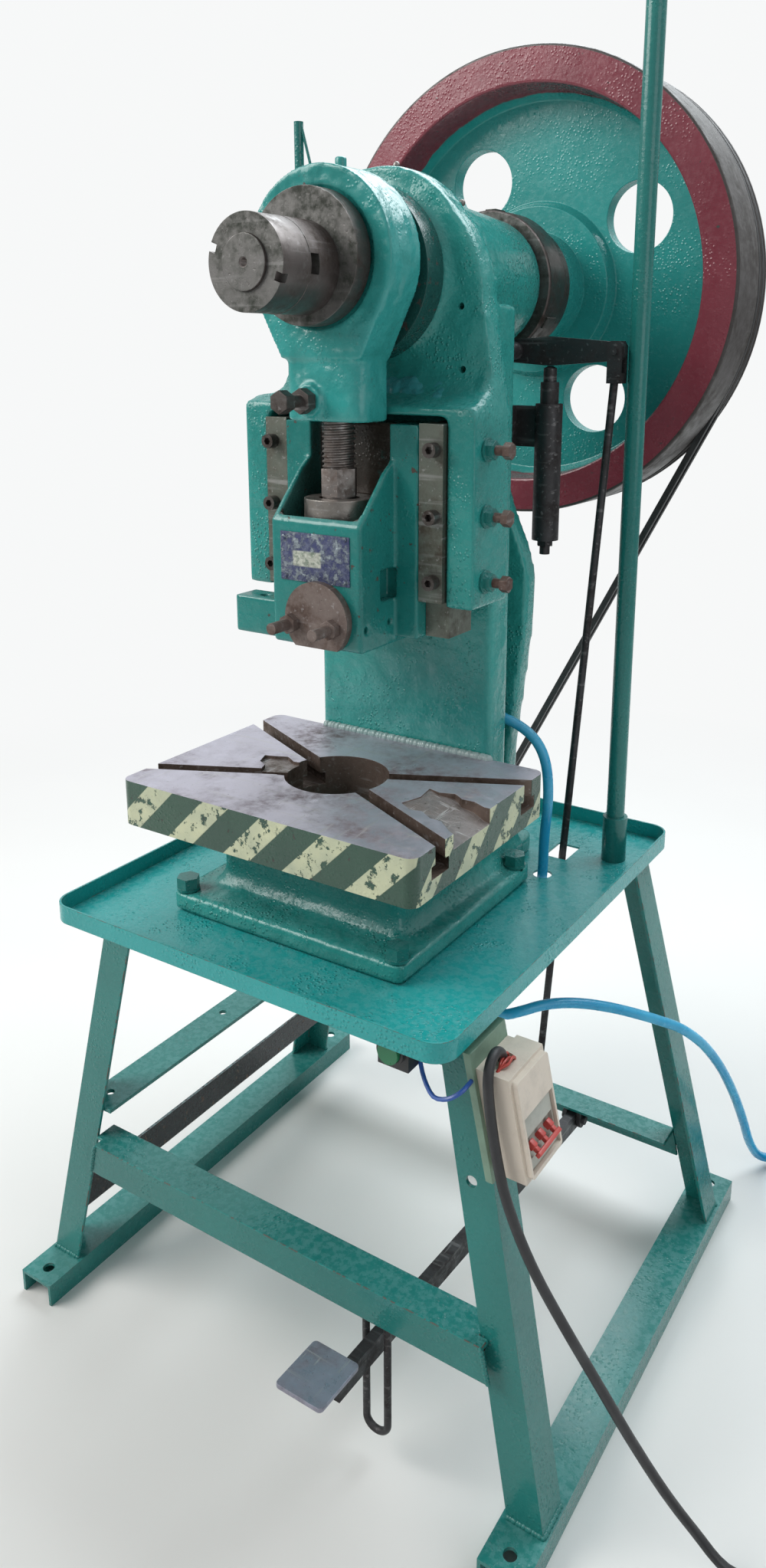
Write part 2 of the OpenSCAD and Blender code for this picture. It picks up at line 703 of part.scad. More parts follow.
// Ball screw, rod and eye: the screw turns into the foot of the rod.
rod_z0 = table_z + rod_rise;
screw_hex_z = pocket_z + seat_h + 1.5;
module ball_screw() color(bare) placed()
  translate([0, screw_y, 0]) {
    translate([0, 0, ball_z]) sphere(ball_r, $fn = 40);
    rod_z(0, 0, screw_r, ball_z, screw_hex_z + 1, $fn = 32);
    hex_z(0, 0, 2 * screw_r, screw_hex_z, screw_hex_z + 28);
    rod_z(0, 0, screw_r, screw_hex_z + 28, rod_z0 + 70, $fn = 32);
  }
foot_top = rod_z0 + 62;
module eye_outline() {
  translate([0, eye_z]) circle(eye_r, $fn = 80);
  polygon([[-neck_x, foot_top - 2], [neck_x + 3, foot_top - 2], [eye_r * 0.9, eye_z - eye_r * 0.43],
           [-eye_r * 0.9, eye_z - eye_r * 0.43]]);
}
jack_x = -12;
jack_z = rod_z0 + 20;
foot_y = screw_y - 30;
module connecting_rod() color(enamel) placed()
  difference() {
    union() {
      xz(eye_y, eye_back_y) eye_outline();
      xy(rod_z0, foot_top) round_rect(-neck_x, foot_y, neck_x + 3, screw_y + 24, 14);
      rod_y(jack_x, jack_z, 16, foot_y - 6, foot_y + 2, $fn = 32);
    }
    rod_y(0, eye_z, eye_bore_r, eye_y - 1, eye_back_y + 1, $fn = 72);
    rod_y(0, eye_z, eye_bore_r + 8, eye_y - 1, eye_y + 4, $fn = 72);
    rod_z(0, screw_y, screw_r, rod_z0 - 6, rod_z0 + 70, $fn = 32);
    rod_y(jack_x, jack_z, 6, foot_y - 7, screw_y - 10, $fn = 20);
  }
module clamp_bolt() color(dark) placed() {
  rod_y(jack_x, jack_z, 6, foot_y - 48, foot_y + 13.4, $fn = 20);
  hex_y(jack_x, jack_z, 20, foot_y - 50, foot_y - 37);
  hex_y(jack_x, jack_z, 22, foot_y - 18, foot_y - 6);
}

// Shaft, eccentric and its flanges turn together.
module crankshaft() color(bare) placed() {
  difference() {
    rod_y(0, shaft_z, nose_r, nose_y, ecc_front_y + 1);
    translate([0, nose_y - 1, shaft_z]) rotate([-90, 0, 0]) cylinder(r1 = 5, r2 = 0, h = 8, $fn = 20);
  }
  rod_y(0, eye_z, ecc_flange_r, ecc_front_y, ecc_front_y + ecc_flange_t, $fn = 72);
  rod_y(0, eye_z, ecc_r, ecc_front_y + 1, eye_back_y + 4, $fn = 56);
  turned_y(0, shaft_z)
    polygon([[0, eye_back_y + 3], [52, eye_back_y + 3], [52, eye_back_y + 10], [crank_flange_r,
        eye_back_y + 10],
             [crank_flange_r, wall_y - 12], [shaft_r + 16, wall_y - 7.3], [shaft_r, wall_y - 7.3],
             [shaft_r, hub_end_y - 7], [0, hub_end_y - 7]]);
}
module shaft_nut() color(bare) placed()
  difference() {
    rod_y(0, shaft_z, nut_r, nut_y, nut_y + nut_len, $fn = 56);
    rod_y(0, shaft_z, nose_r, nut_y - 1, nut_y + nut_len + 1);
    for (a = [20, 200])
      translate([0, 0, shaft_z]) rotate([0, a, 0])
        translate([nut_r - 7, nut_y - 1, -4]) cube([10, 9, 8]);
  }
module jaw_ring() color(bare) placed()
  difference() {
    rod_y(0, shaft_z, nut_r, nut_y + nut_len, ecc_front_y, $fn = 56);
    rod_y(0, shaft_z, nose_r, nut_y + nut_len - 1, ecc_front_y + 1);
    for (a = [0, 180])
      translate([0, 0, shaft_z]) rotate([0, a, 0])
        translate([nut_r - 10, nut_y + nut_len - 1, -9]) cube([20, 14, 18]);
  }
clutch_y = hub_y + 1;
module clutch_ring() color(bare) placed() {
  difference() {
    turned_y(0, shaft_z)
      polygon([[shaft_r, clutch_y], [hub_r + 8, clutch_y], [hub_r + 10, clutch_y + 3], [hub_r + 10,
          clutch_y + 38],
               [hub_r + 2, clutch_y + 44], [hub_r + 2, clutch_y + 70], [shaft_r, clutch_y + 70]]);
    for (a = [30, 150, 270])
      translate([0, 0, shaft_z]) rotate([0, a, 0])
        translate([hub_r - 6, clutch_y + 8, -7]) cube([20, 24, 14]);
  }
  for (a = [30, 150, 270])
    translate([0, 0, shaft_z]) rotate([0, a, 0])
      translate([hub_r - 6, clutch_y + 8, -7]) cube([18, 24, 14]);
}

// Flywheel with two belt grooves, four web holes and a raised hub.
module flywheel() color([0.20, 0.55, 0.50]) placed()
  difference() {
    turned_y(0, shaft_z, $fn = 96)
      difference() {
        polygon([[shaft_r + run_gap, clutch_y + 72], [hub_r - 6, clutch_y + 72], [hub_r - 4, fly_y + 42],
                 [fly_hub_r, fly_y + 42], [fly_hub_r + 6, fly_y + 57], [fly_rim_r - 8, fly_y + 57],
                 [fly_rim_r, fly_y + 46], [fly_rim_r + 2, fly_y + 2], [fly_rim_r + 4, fly_y],
                 [fly_r - 2, fly_y], [fly_r, fly_y + 2], [fly_r, fly_y + fly_w - 2],
                 [fly_r - 2, fly_y + fly_w], [fly_rim_r, fly_y + fly_w],
                 [fly_rim_r - 8, fly_y + 57 + fly_web_t], [fly_hub_r, fly_y + 57 + fly_web_t],
                 [fly_hub_r - 6, fly_y + fly_w + 9.6], [shaft_r + run_gap, fly_y + fly_w + 9.6]]);
        for (y = belt_ys)
          polygon([[fly_r - 9, y - belt_w / 2 + 1.5], [fly_r - 9, y + belt_w / 2 - 1.5],
                   [fly_r + 1, y + belt_w / 2 + 1], [fly_r + 1, y - belt_w / 2 - 1]]);
      }
    for (a = [32:90:302])
      translate([fly_pitch_r * cos(a), 0, shaft_z + fly_pitch_r * sin(a)])
        rod_y(0, 0, fly_hole_r, fly_y + 40, fly_y + fly_w, $fn = 48);
  }
belt_ys = [for (i = [0, 1]) fly_y + fly_w - 12 - belt_pitch * i];
module flywheel_cap() color(dark) placed() {
  rod_y(0, shaft_z, shaft_r + 12, hub_end_y - 7, hub_end_y - 1, $fn = 40);
  hex_y(0, shaft_z, 30, hub_end_y - 1, hub_end_y);
}
module belt_loop(in) hull() {
  translate([0, shaft_z]) circle(fly_r - in, $fn = 96);
  translate([-motor_x, motor_z]) circle(pulley_r - in, $fn = 40);
}
module v_belts() color(dark) placed()
  for (y = belt_ys)
    xz(y - belt_w / 2 + 1.8, y + belt_w / 2 - 1.8)
      difference() {
        belt_loop(0.5);
        belt_loop(8.4);
      }
module motor_pulley() color(bare) placed() {
  turned_y(-motor_x, motor_z)
    difference() {
      rect(0, belt_ys[1] - 9, pulley_r, belt_ys[0] + 9);
      for (y = belt_ys)
        polygon([[pulley_r - 9, y - belt_w / 2 + 1.5], [pulley_r - 9, y + belt_w / 2 - 1.5],
                 [pulley_r + 1, y + belt_w / 2 + 1], [pulley_r + 1, y - belt_w / 2 - 1]]);
    }
  rod_y(-motor_x, motor_z, 12, motor_y1 - 20, belt_ys[1] - 8);
}
motor_y0 = 345;
motor_y1 = 530;
plate_z = flat_bar_z + flat_bar_t;
module motor() color(enamel) placed()
  difference() {
    union() {
      turned_y(-motor_x, motor_z)
        polygon([[0, motor_y0], [motor_r - 8, motor_y0], [motor_r - 2, motor_y0 + 6], [motor_r - 2,
            motor_y0 + 36],
                 [motor_r, motor_y0 + 38], [motor_r, motor_y1 - 24], [motor_r - 4, motor_y1 - 20],
                 [motor_r - 4, motor_y1 - 6], [motor_r - 10, motor_y1], [0, motor_y1]]);
      xz(motor_y0 + 60, motor_y1 - 45)
        for (s = [-1, 1])
          translate([-motor_x, 0])
            polygon([[s * (motor_r - 4), plate_z + 8], [s * (motor_r - 26), plate_z + 8],
                     [s * (motor_r - 26), motor_z], [s * (motor_r - 10), motor_z - 20], [s * (motor_r -
                         4), plate_z + 16]]);
    }
    rod_y(-motor_x, motor_z, 12 + run_gap, motor_y1 - 21, motor_y1 + 1);
  }
// Motor plate: it lies on the flat bar and hangs from the tray by its turned-up edge.
module motor_bracket() color(enamel) placed()
  difference() {
    xz(motor_y0 + 20, motor_y1 - 75) {
      rect(-leg_x(plate_z + 8) + leg_t + 3, plate_z, -motor_x + motor_r + 15, plate_z + 8);
      rect(-motor_x + motor_r + 7, plate_z, -motor_x + motor_r + 15, deck_z);
    }
    translate([-leg_x(plate_z), leg_ry(plate_z + 8) - leg_t - 1.5, plate_z - 1]) cube([leg_w + 3, 40, 10]);
  }

// Trip gear: the pedal pulls the rod, the rod turns the lever, the lever pushes the plunger.
module trip_stud() color(bare) placed() {
  rod_y(trip_x, trip_z, 6, rear_y - 18, rear_y, $fn = 20);
  rod_y(trip_x, trip_z, 10, rear_y, trip_y - trip_t / 2 - 0.3, $fn = 28);
  rod_y(trip_x, trip_z, 7, trip_y - trip_t / 2 - 1, trip_y + trip_t / 2 + 0.4, $fn = 40);
  rod_y(trip_x, trip_z, 11, trip_y + trip_t / 2 + 0.3, trip_y + trip_t / 2 + 7, $fn = 28);
}
module trip_lever() color(dark) placed()
  difference() {
    xz(trip_y - trip_t / 2, trip_y + trip_t / 2) {
      hull() {
        translate([trip_x, trip_z]) circle(13);
        translate([plunger_x, trip_z]) circle(16);
      }
      hull() {
        translate([plunger_x, trip_z]) circle(16);
        translate([pivot_x, trip_z]) circle(10);
      }
    }
    rod_y(trip_x, trip_z, 7 + run_gap, trip_y - 20, trip_y + 20, $fn = 40);
    rod_y(pivot_x, trip_z, 5.2, trip_y - 20, trip_y + 20, $fn = 28);
  }
hook_x = 119;
function pull_x(z) = along(hook_x, pivot_x, (z - hook_z) / (trip_z - hook_z));
module pull_rod() color(dark) placed() {
  w = trip_t / 2 + 0.4;
  z1 = trip_z - 34;
  a = [hook_x, trip_y, hook_z];
  b = [pull_x(z1), trip_y, z1];
  d = b - a;
  difference() {
    union() {
      for (s = [0, 1]) mirror([0, s, 0]) translate([0, s ? -2 * trip_y : 0, 0])
        xz(trip_y + w, trip_y + w + 4)
          translate([pivot_x, 0])
            polygon([[-8, z1], [8, z1], [8, trip_z + 6], [5, trip_z + 11], [-5, trip_z + 11], [-8,
                trip_z + 6]]);
      xy(z1, z1 + 11) rect(pivot_x - 8, trip_y - w - 4, pivot_x + 8, trip_y + w + 4);
      rod_y(pivot_x, trip_z, 4, trip_y - w - 7, trip_y + w + 7, $fn = 28);
      rod_y(pivot_x, trip_z, 7, trip_y + w + 4, trip_y + w + 7, $fn = 24);
      translate(a) rotate([0, atan2(d.x, d.z), 0]) translate([0, 0, 8]) cylinder(r = pull_r, h =
          norm(d) - 4, $fn = 24);
      rod_x(trip_y, hook_z, 12, hook_x - 4, hook_x + 4, $fn = 36);
    }
    rod_x(trip_y, hook_z, 6.4, hook_x - 5, hook_x + 5, $fn = 28);
  }
}
housing_z1 = trip_z - housing_drop;
module spring_housing() color(dark) placed()
  difference() {
    union() {
      rod_z(plunger_x, trip_y, 15.5, housing_z1 - housing_len, housing_z1, $fn = 40);
      rod_z(plunger_x, trip_y, 6, housing_z1 - housing_len - 17, housing_z1 - housing_len + 1, $fn = 20);
      hex_z(plunger_x, trip_y, 17, housing_z1 - housing_len - 7, housing_z1 - housing_len);
      xy(housing_z1 - 49, housing_z1 - 3) {
        rect(hub_r - 25, rear_y, hub_r - 3, trip_y + 4);
        rect(hub_r - 4, trip_y - 6, plunger_x, trip_y + 4);
      }
    }
    rod_z(plunger_x, trip_y, 10.5 + run_gap, housing_z1 - 60, housing_z1 + 1, $fn = 40);
  }
module spring_plunger() color(bare) placed()
  translate([plunger_x, trip_y, 0]) {
    rod_z(0, 0, 10.5, housing_z1 - 45, housing_z1 + 24, $fn = 40);
    rod_z(0, 0, 7.5, housing_z1 + 23, trip_z - 18.8, $fn = 28);
    translate([0, 0, trip_z - 18.8]) cylinder(r1 = 7.5, r2 = 3, h = 2.5, $fn = 28);
  }

// Pedal: the arm swings on a bearing behind and drops in the front guide loop.
front_x = 144;
rear_x = 149;
module on_arm() translate([0, pedal_pivot_y, pedal_z]) rotate([-pedal_tilt, 0, 0])
    translate([0, -pedal_pivot_y, -pedal_z]) children();
function arm_x(y) = along(rear_x, front_x, (pedal_pivot_y - y) / (pedal_pivot_y - front_bar_y));
module pedal_arm() color(dark) placed() on_arm()
  difference() {
    union() {
      y0 = pedal_front_y + 40;
      y1 = pedal_pivot_y;
      yh = y1 - hook_d / cos(pedal_tilt);
      xy(pedal_z - arm_h / 2, pedal_z + arm_h / 2)
        polygon([[arm_x(front_bar_y) - arm_t / 2, y0], [arm_x(front_bar_y) + arm_t / 2, y0],
                 [arm_x(front_bar_y) + arm_t / 2, front_bar_y], [arm_x(y1) + arm_t / 2, y1],
                 [arm_x(y1) - arm_t / 2, y1], [arm_x(front_bar_y) - arm_t / 2, front_bar_y]]);
      rod_x(y1, pedal_z, arm_h / 2, rear_x - arm_t / 2, rear_x + arm_t / 2, $fn = 32);
      rod_x(yh, pedal_z, 5, hook_x - 6, arm_x(yh), $fn = 28);
      rod_x(yh, pedal_z, 9, hook_x - 9, hook_x - 5.3, $fn = 24);
      rod_x(yh, pedal_z, 9, hook_x + 5.3, arm_x(yh), $fn = 24);
    }
    rod_x(pedal_pivot_y, pedal_z, 6 + run_gap, rear_x - 10, rear_x + 10, $fn = 32);
  }
plate_x = front_x + arm_t / 2 + 7;
module pedal_plate() color([0.40, 0.36, 0.42]) placed() on_arm()
  xy(pedal_z + arm_h / 2, pedal_z + arm_h / 2 + 5)
    round_rect(plate_x - pedal_w, pedal_front_y - 1, plate_x, pedal_front_y - 1 + pedal_d, 5);
module pedal_bearing() color(dark) placed() {
  g = arm_t / 2 + 0.8;
  for (x = [rear_x - g - 6, rear_x + g])
    yz(x, x + 6) {
      translate([pedal_pivot_y, pedal_z]) circle(11);
      rect(pedal_pivot_y - 11, pedal_z, pedal_pivot_y + 11, rear_bar_z - leg_t);
    }
  rod_x(pedal_pivot_y, pedal_z, 6, rear_x - g - 10, rear_x + g + 10, $fn = 32);
}
module pedal_guide() color(dark) placed() {
  y = front_bar_y + leg_t + guide_r;
  r = arm_t / 2 + 3.2 + guide_r;
  z0 = 48;
  xg = front_x + 2.4;
  for (s = [-1, 1])
    rod_z(xg + s * r, y, guide_r, z0, front_bar_z - leg_t, $fn = 20);
  translate([xg, y, z0]) rotate([90, 0, 0]) rotate([0, 0, 180])
    rotate_extrude(angle = 180, $fn = 32) translate([r, 0]) circle(guide_r, $fn = 20);
}

// The switch box leans with the right front leg that carries it.
module on_leg() multmatrix([[1, 0, (top_x - foot_x) / leg_h, leg_x(0)], [0, 1, 0, 0], [0, 0, 1, 0]])
    children();
box_y0 = -48;
box_z0 = deck_z - 128;
plate_t = 8;
module box_plate() color([0.75, 0.73, 0.64]) placed() on_leg()
  translate([0, box_y0 - 2, box_z0 - 12]) cube([plate_t, switch_w, switch_h + 26]);
module switch_box() color([0.83, 0.80, 0.72]) placed() on_leg()
  difference() {
    union() {
      translate([plate_t, box_y0 + 3, box_z0 + 2]) cube([10, switch_w - 6, switch_h - 4]);
      translate([plate_t + 9, box_y0, box_z0]) cube([switch_d - plate_t - 15, switch_w, switch_h]);
      translate([switch_d - 6.5, 0, 0]) rotate([90, 0, 90]) linear_extrude(6.5, scale = 1)
        round_rect(box_y0 + 3, box_z0 + 5, box_y0 + switch_w - 3, box_z0 + switch_h - 3, 4);
    }
    translate([switch_d - 14, box_y0 + 6, box_z0 + 9]) cube([20, switch_w - 12, 53]);
    translate([24, box_y0 + 30, box_z0 + switch_h - 8]) cylinder(r = 9, h = 10, $fn = 24);
  }
module breaker() color([0.78, 0.75, 0.68]) placed() on_leg()
  difference() {
    translate([switch_d - 14, box_y0 + 7.5, box_z0 + 10.5]) cube([11, switch_w - 15, 50]);
    translate([switch_d - 8, box_y0 + 9, box_z0 + 21]) cube([6, switch_w - 18, 20]);
  }
toggle_z = box_z0 + 31;
toggle_x = leg_x(toggle_z) + switch_d - 4;
toggle_rest = 32;
module breaker_toggle() color([0.75, 0.16, 0.14]) placed()
  translate([toggle_x, box_y0 + 9.6, toggle_z]) rotate([0, toggle_rest, 0]) {
    for (i = [0:2])
      translate([0, 2.4 + 17 * i, 0]) rotate([-90, 0, 0]) {
        cylinder(r = 3.4, h = 10, $fn = 24);
        translate([0, -2.6, 0]) cube([14, 5.2, 10]);
      }
    translate([13, 0, -4.5]) cube([7, 48.8, 9]);
  }
module push_station() color(dark) placed()
  difference() {
    union() {
      xy(deck_z - 42, deck_z) rect(160, -70, 194, -30);
      rod_y(177, deck_z - 22, 14.5, -76, -69, $fn = 32);
    }
    rod_y(177, deck_z - 22, 11.6, -77, -58, $fn = 32);
  }
module push_button() color([0.1, 0.1, 0.1]) placed()
  rod_y(177, deck_z - 22, 11.3, -80, -64, $fn = 32);

// Cords are swept through their own points.
cable_points = [[266, -20, deck_z - 34], [266, -25, deck_z - 20], [266, -36, deck_z - 13],
                [267, -48, deck_z - 18], [269, -55, deck_z - 33], [273, -57, deck_z - 60],
                [279, -58, deck_z - 92], [289, -59, 400], [303, -57, 360], [322, -53, 318],
                [347, -45, 270], [378, -32, 210], [408, -18, 150], [438, -2, 92], [465, 14, 45],
                [497, 20, 14], [535, 31, 6], [553, 36, 6]];
coil_at = [591, -22];
hose_points = [[90, 279, 722], [119, 284, 712], [142, 285, 696], [155, 285, 670], [159, 285, 630],
               [156, 285, 580], [155, 285, 533], [153, 278, 485], [147, 256, 444], [140, 228, 414],
               [141, 205, 399], [155, 195, 395], [173, 202, 401], [190, 219, 405], [208, 239, 404],
               [228, 261, 398], [250, 286, 387], [270, 311, 373], [290, 341, 354], [308, 372, 332],
               [325, 408, 296], [338, 447, 246], [347, 487, 186], [352, 527, 123], [355, 562, 66],
               [362, 594, 26], [378, 622, 9], [398, 640, 7]];
hose_coil_at = [465, 600];
wire_points = [[194, -50, deck_z - 39], [204, -58, deck_z - 51], [220, -68, deck_z - 57],
               [236, -70, deck_z - 52], [246, -64, deck_z - 45], [249, -55, deck_z - 41],
               [249, -46, deck_z - 40]];
function unit(v) = v / norm(v);
function bend(a, b, c, d, t) =
  0.5 * (2 * b + (c - a) * t + (2 * a - 5 * b + 4 * c - d) * t * t + (3 * b - a - 3 * c + d) * t * t * t);
function smooth(p, m) = [for (i = [0:len(p) - 2], j = [0:m - 1])
  bend(p[max(i - 1, 0)], p[i], p[i + 1], p[min(i + 2, len(p) - 1)], j / m), p[len(p) - 1]];
function carried(t, n, i) =
  i >= len(t) ? [] : let (m = unit(n - (n * t[i]) * t[i])) concat([m], carried(t, m, i + 1));
module tube(points, m, r, sides) {
  p = smooth(points, m);
  t = [for (i = [0:len(p) - 1]) unit(p[min(i + 1, len(p) - 1)] - p[max(i - 1, 0)])];
  n = carried(t, [0.1, 1, 0.2], 0);
  ring = [for (i = [0:len(p) - 1], k = [0:sides - 1])
    p[i] + r * (cos(360 * k / sides) * n[i] + sin(360 * k / sides) * cross(t[i], n[i]))];
  s = sides;
  last = len(p) - 1;
  polyhedron(ring, concat(
    [[for (k = [0:s - 1]) k], [for (k = [s - 1:-1:0]) last * s + k]],
    [for (i = [0:last - 1], k = [0:s - 1]) [i * s + k, (i + 1) * s + k, (i + 1) * s + (k + 1) % s]],
    [for (i = [0:last - 1], k = [0:s - 1]) [i * s + k, (i + 1) * s + (k + 1) % s, i * s + (k + 1) % s]]),
    convexity = 10);
}
module coil(at, mean_r, r) translate([at.x, at.y, 0])
  rotate_extrude($fn = 48) translate([mean_r, 2 * r]) offset(r) square(2 * r, center = true);
module power_cable() color(dark) placed() tube(cable_points, 2, cable_r, 10);
module cable_coil() color(dark) placed() coil(coil_at, 61, cable_r);
module power_plug() color(dark) placed() translate([coil_at.x + 34, coil_at.y + 66.5, 18]) {
  rotate([0, 90, 0]) cylinder(r1 = 7, r2 = 9, h = 22, $fn = 24);
  translate([21, 0, 0]) rotate([0, 90, 0]) cylinder(r = 18, h = 34, $fn = 32);
  for (s = [-1, 1])
    translate([54, 9.5 * s, 0]) rotate([0, 90, 0]) cylinder(r = 2.4, h = 19, $fn = 16);
}
module air_hose() color([0.25, 0.62, 0.82]) placed() tube(hose_points, 2, hose_r, 10);
module hose_coil() color([0.25, 0.62, 0.82]) placed() coil(hose_coil_at, 66, hose_r);
module hose_fitting() color([0.72, 0.58, 0.30]) placed() {
  rod_x(279, 722, 6, web_x - 14, web_x, $fn = 20);
  hex_x(279, 722, 17, web_x, web_x + 9);
  rod_x(279, 722, 8, web_x + 9, hose_points[0].x, $fn = 24);
}
module control_wire() color([0.15, 0.25, 0.55]) placed() tube(wire_points, 3, 2.2, 8);

skid_left();
skid_right();
leg_front_left();
leg_front_right();
leg_rear_left();
leg_rear_right();
crossbar_front();
crossbar_rear();
side_rail();
flat_bar();
tray();
frame_casting();
bolster();
hold_down_bolts();
gib_left();
gib_right();
gib_screws();
adjusting_bolts();
grease_nipples();
tall_post();
head_post();
slide();
shank_cap();
shank_studs();
ball_ring();
ball_screw();
connecting_rod();
clamp_bolt();
crankshaft();
shaft_nut();
jaw_ring();
clutch_ring();
flywheel();
flywheel_cap();
v_belts();
motor();
motor_pulley();
motor_bracket();
trip_stud();
trip_lever();
pull_rod();
spring_housing();
spring_plunger();
pedal_arm();
pedal_plate();
pedal_bearing();
pedal_guide();
switch_box();
breaker();
breaker_toggle();
box_plate();
push_station();
push_button();
control_wire();
power_cable();
cable_coil();
power_plug();
hose_fitting();
air_hose();
hose_coil();
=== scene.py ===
import json
import math

import bpy
from mathutils import Matrix, Vector, noise as waves


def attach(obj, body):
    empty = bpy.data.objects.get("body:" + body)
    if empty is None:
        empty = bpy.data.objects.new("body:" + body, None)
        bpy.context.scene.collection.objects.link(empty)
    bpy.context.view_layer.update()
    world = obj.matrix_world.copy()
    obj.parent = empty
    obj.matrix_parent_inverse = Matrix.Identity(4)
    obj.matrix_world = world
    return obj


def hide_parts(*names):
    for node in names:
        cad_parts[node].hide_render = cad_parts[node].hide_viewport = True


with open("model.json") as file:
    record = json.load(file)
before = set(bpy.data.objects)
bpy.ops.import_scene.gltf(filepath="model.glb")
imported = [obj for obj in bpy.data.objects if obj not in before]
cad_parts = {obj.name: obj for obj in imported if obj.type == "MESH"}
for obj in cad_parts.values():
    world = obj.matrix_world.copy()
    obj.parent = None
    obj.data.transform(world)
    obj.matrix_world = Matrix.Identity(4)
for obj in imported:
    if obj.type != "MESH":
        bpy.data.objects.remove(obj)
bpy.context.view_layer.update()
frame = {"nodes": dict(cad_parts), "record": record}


# Camera. It stands at the front right corner, a little above the slide and near to the machine, so
# the lens is wide and the view looks down at the bolster.
middle_y = 222.5    # where the model's middle lies in the drawing of the solids


def at(x, y, z):
    """A place in the drawing's millimetres, as metres in the model."""
    return Vector((x / 1000, (y - middle_y) / 1000, z / 1000))


def deselect():
    """Lets go of everything, so that an operator acts only on what is chosen or added next."""
    bpy.ops.object.select_all(action="DESELECT")


deselect()
bpy.ops.object.camera_add(location=at(684.9, -840.0, 1135.0),
                          rotation=(math.radians(90 - 14.23), math.radians(-0.21), math.radians(32.38)))
camera = bpy.context.object
camera.data.sensor_fit = "AUTO"
camera.data.sensor_width = 36.0
camera.data.lens = 26.08
camera.data.shift_x = -0.01935
camera.data.shift_y = -0.09387
camera.data.clip_start = 0.02
bpy.context.scene.camera = camera


# Cords. A black rubber mains cable leaves the switch box and runs off over the floor, and a light
# blue plastic air hose goes down through the tray. What the photograph doesn't show is coiled.
def put(tree, kind, attributes=None, **sockets):
    """Adds a node; sockets are set by name, with _ for a space, or by place as i0, i1 and so on."""
    made = tree.nodes.new(kind)
    for name, value in (attributes or {}).items():
        setattr(made, name, value)
    for name, value in sockets.items():
        key = int(name[1:]) if name[0] == "i" and name[1:].isdigit() else name.replace("_", " ")
        if isinstance(value, bpy.types.NodeSocket):
            tree.links.new(value, made.inputs[key])
        else:
            made.inputs[key].default_value = value
    return made


def noise(tree, where, scale, detail=3.0, rough=0.55):
    made = put(tree, "ShaderNodeTexNoise", Vector=where, Scale=scale, Detail=detail, Roughness=rough)
    return made.outputs[0]


def span(tree, value, low, high, to_low=0.0, to_high=1.0):
    """Maps low..high onto 0..1, or other limits, and stops at the ends."""
    return put(tree, "ShaderNodeMapRange", i0=value, i1=low, i2=high, i3=to_low, i4=to_high).outputs[0]


def tint(tree, share, a, b):
    """A mix of two colours, given as three numbers or as a socket."""
    a, b = [(*c, 1.0) if isinstance(c, tuple) and len(c) == 3 else c for c in (a, b)]
    return put(tree, "ShaderNodeMix", {"data_type": "RGBA"}, i0=share, i6=a, i7=b).outputs[2]


def new_material(name):
    """A material with only its Principled shader, and its object's own coordinates."""
    material = bpy.data.materials.new(name)
    material.use_nodes = True
    tree = material.node_tree
    shader = tree.nodes["Principled BSDF"]
    return material, tree, shader, put(tree, "ShaderNodeTexCoord").outputs["Object"]


def feed(tree, shader, **sockets):
    """Links values to the shader's sockets, named with _ for a space."""
    for name, value in sockets.items():
        tree.links.new(value, shader.inputs[name.replace("_", " ")])


def emboss(tree, shader, strength, distance, height):
    """Relief on the shader's Normal; the distance is in metres."""
    bump = put(tree, "ShaderNodeBump", Strength=strength, Distance=distance, Height=height)
    feed(tree, shader, Normal=bump.outputs[0])


def rubber(name, colour, gloss, grain):
    """Sheath or belt rubber: dusty, slightly rubbed, with a fine moulded grain."""
    material, tree, shader, where = new_material(name)
    dust = span(tree, noise(tree, where, 28, 5), 0.5, 0.75)
    pale = tuple(c * 1.5 + 0.014 for c in colour)
    rubbed = span(tree, noise(tree, where, 60, 4), 0.3, 0.7, gloss - 0.08, gloss + 0.15)
    feed(tree, shader, Base_Color=tint(tree, dust, colour, pale), Roughness=rubbed)
    emboss(tree, shader, 0.35, 0.0004, noise(tree, where, grain, 3))
    return material


def eased_route(points, steps):
    """A smooth line through the points, in millimetres, as the solids' tubes have it."""
    out = []
    for i in range(len(points) - 1):
        near = [points[min(max(k, 0), len(points) - 1)] for k in (i - 1, i, i + 1, i + 2)]
        a, b, c, d = [Vector(point) for point in near]
        for j in range(steps):
            t = j / steps
            out.append(0.5 * (2 * b + (c - a) * t + (2 * a - 5 * b + 4 * c - d) * t * t
                              + (3 * b - a - 3 * c + d) * t ** 3))
    return out + [Vector(points[-1])]


def coil_turns(centre, outer, inner, low, high, start, end):
    """Clockwise turns from the angle start, for end degrees: outer, inner, up a layer, outer again."""
    go_in, go_up, go_out, within = 300, 600, 900, 60    # degrees turned when a change begins, and its length
    out = []
    for turned in range(0, int(end) + 1, 12):
        inward, risen, outward = [min(1, max(0, (turned - change) / within))
                                  for change in (go_in, go_up, go_out)]
        inward, risen = [v * v * (3 - 2 * v) for v in (inward - outward, risen)]
        radius = outer + (inner - outer) * inward
        angle = math.radians(start - turned)
        out.append(Vector((centre[0] + radius * math.cos(angle), centre[1] + radius * math.sin(angle),
                           low + (high - low) * risen)))
    return out


def cord_curve(name, route, radius, material):
    """One open spline with a round section, along a route in millimetres."""
    data = bpy.data.curves.new(name, "CURVE")
    data.dimensions = "3D"
    spline = data.splines.new("POLY")
    spline.points.add(len(route) - 1)
    for point, place in zip(spline.points, route):
        point.co = (*at(*place), 1.0)
    data.bevel_depth = radius / 1000
    data.bevel_resolution = 4
    data.use_fill_caps = True
    data.materials.append(material)
    cord = bpy.data.objects.new(name, data)
    bpy.context.collection.objects.link(cord)
    return cord, sum((route[i + 1] - route[i]).length for i in range(len(route) - 1)) / 1000


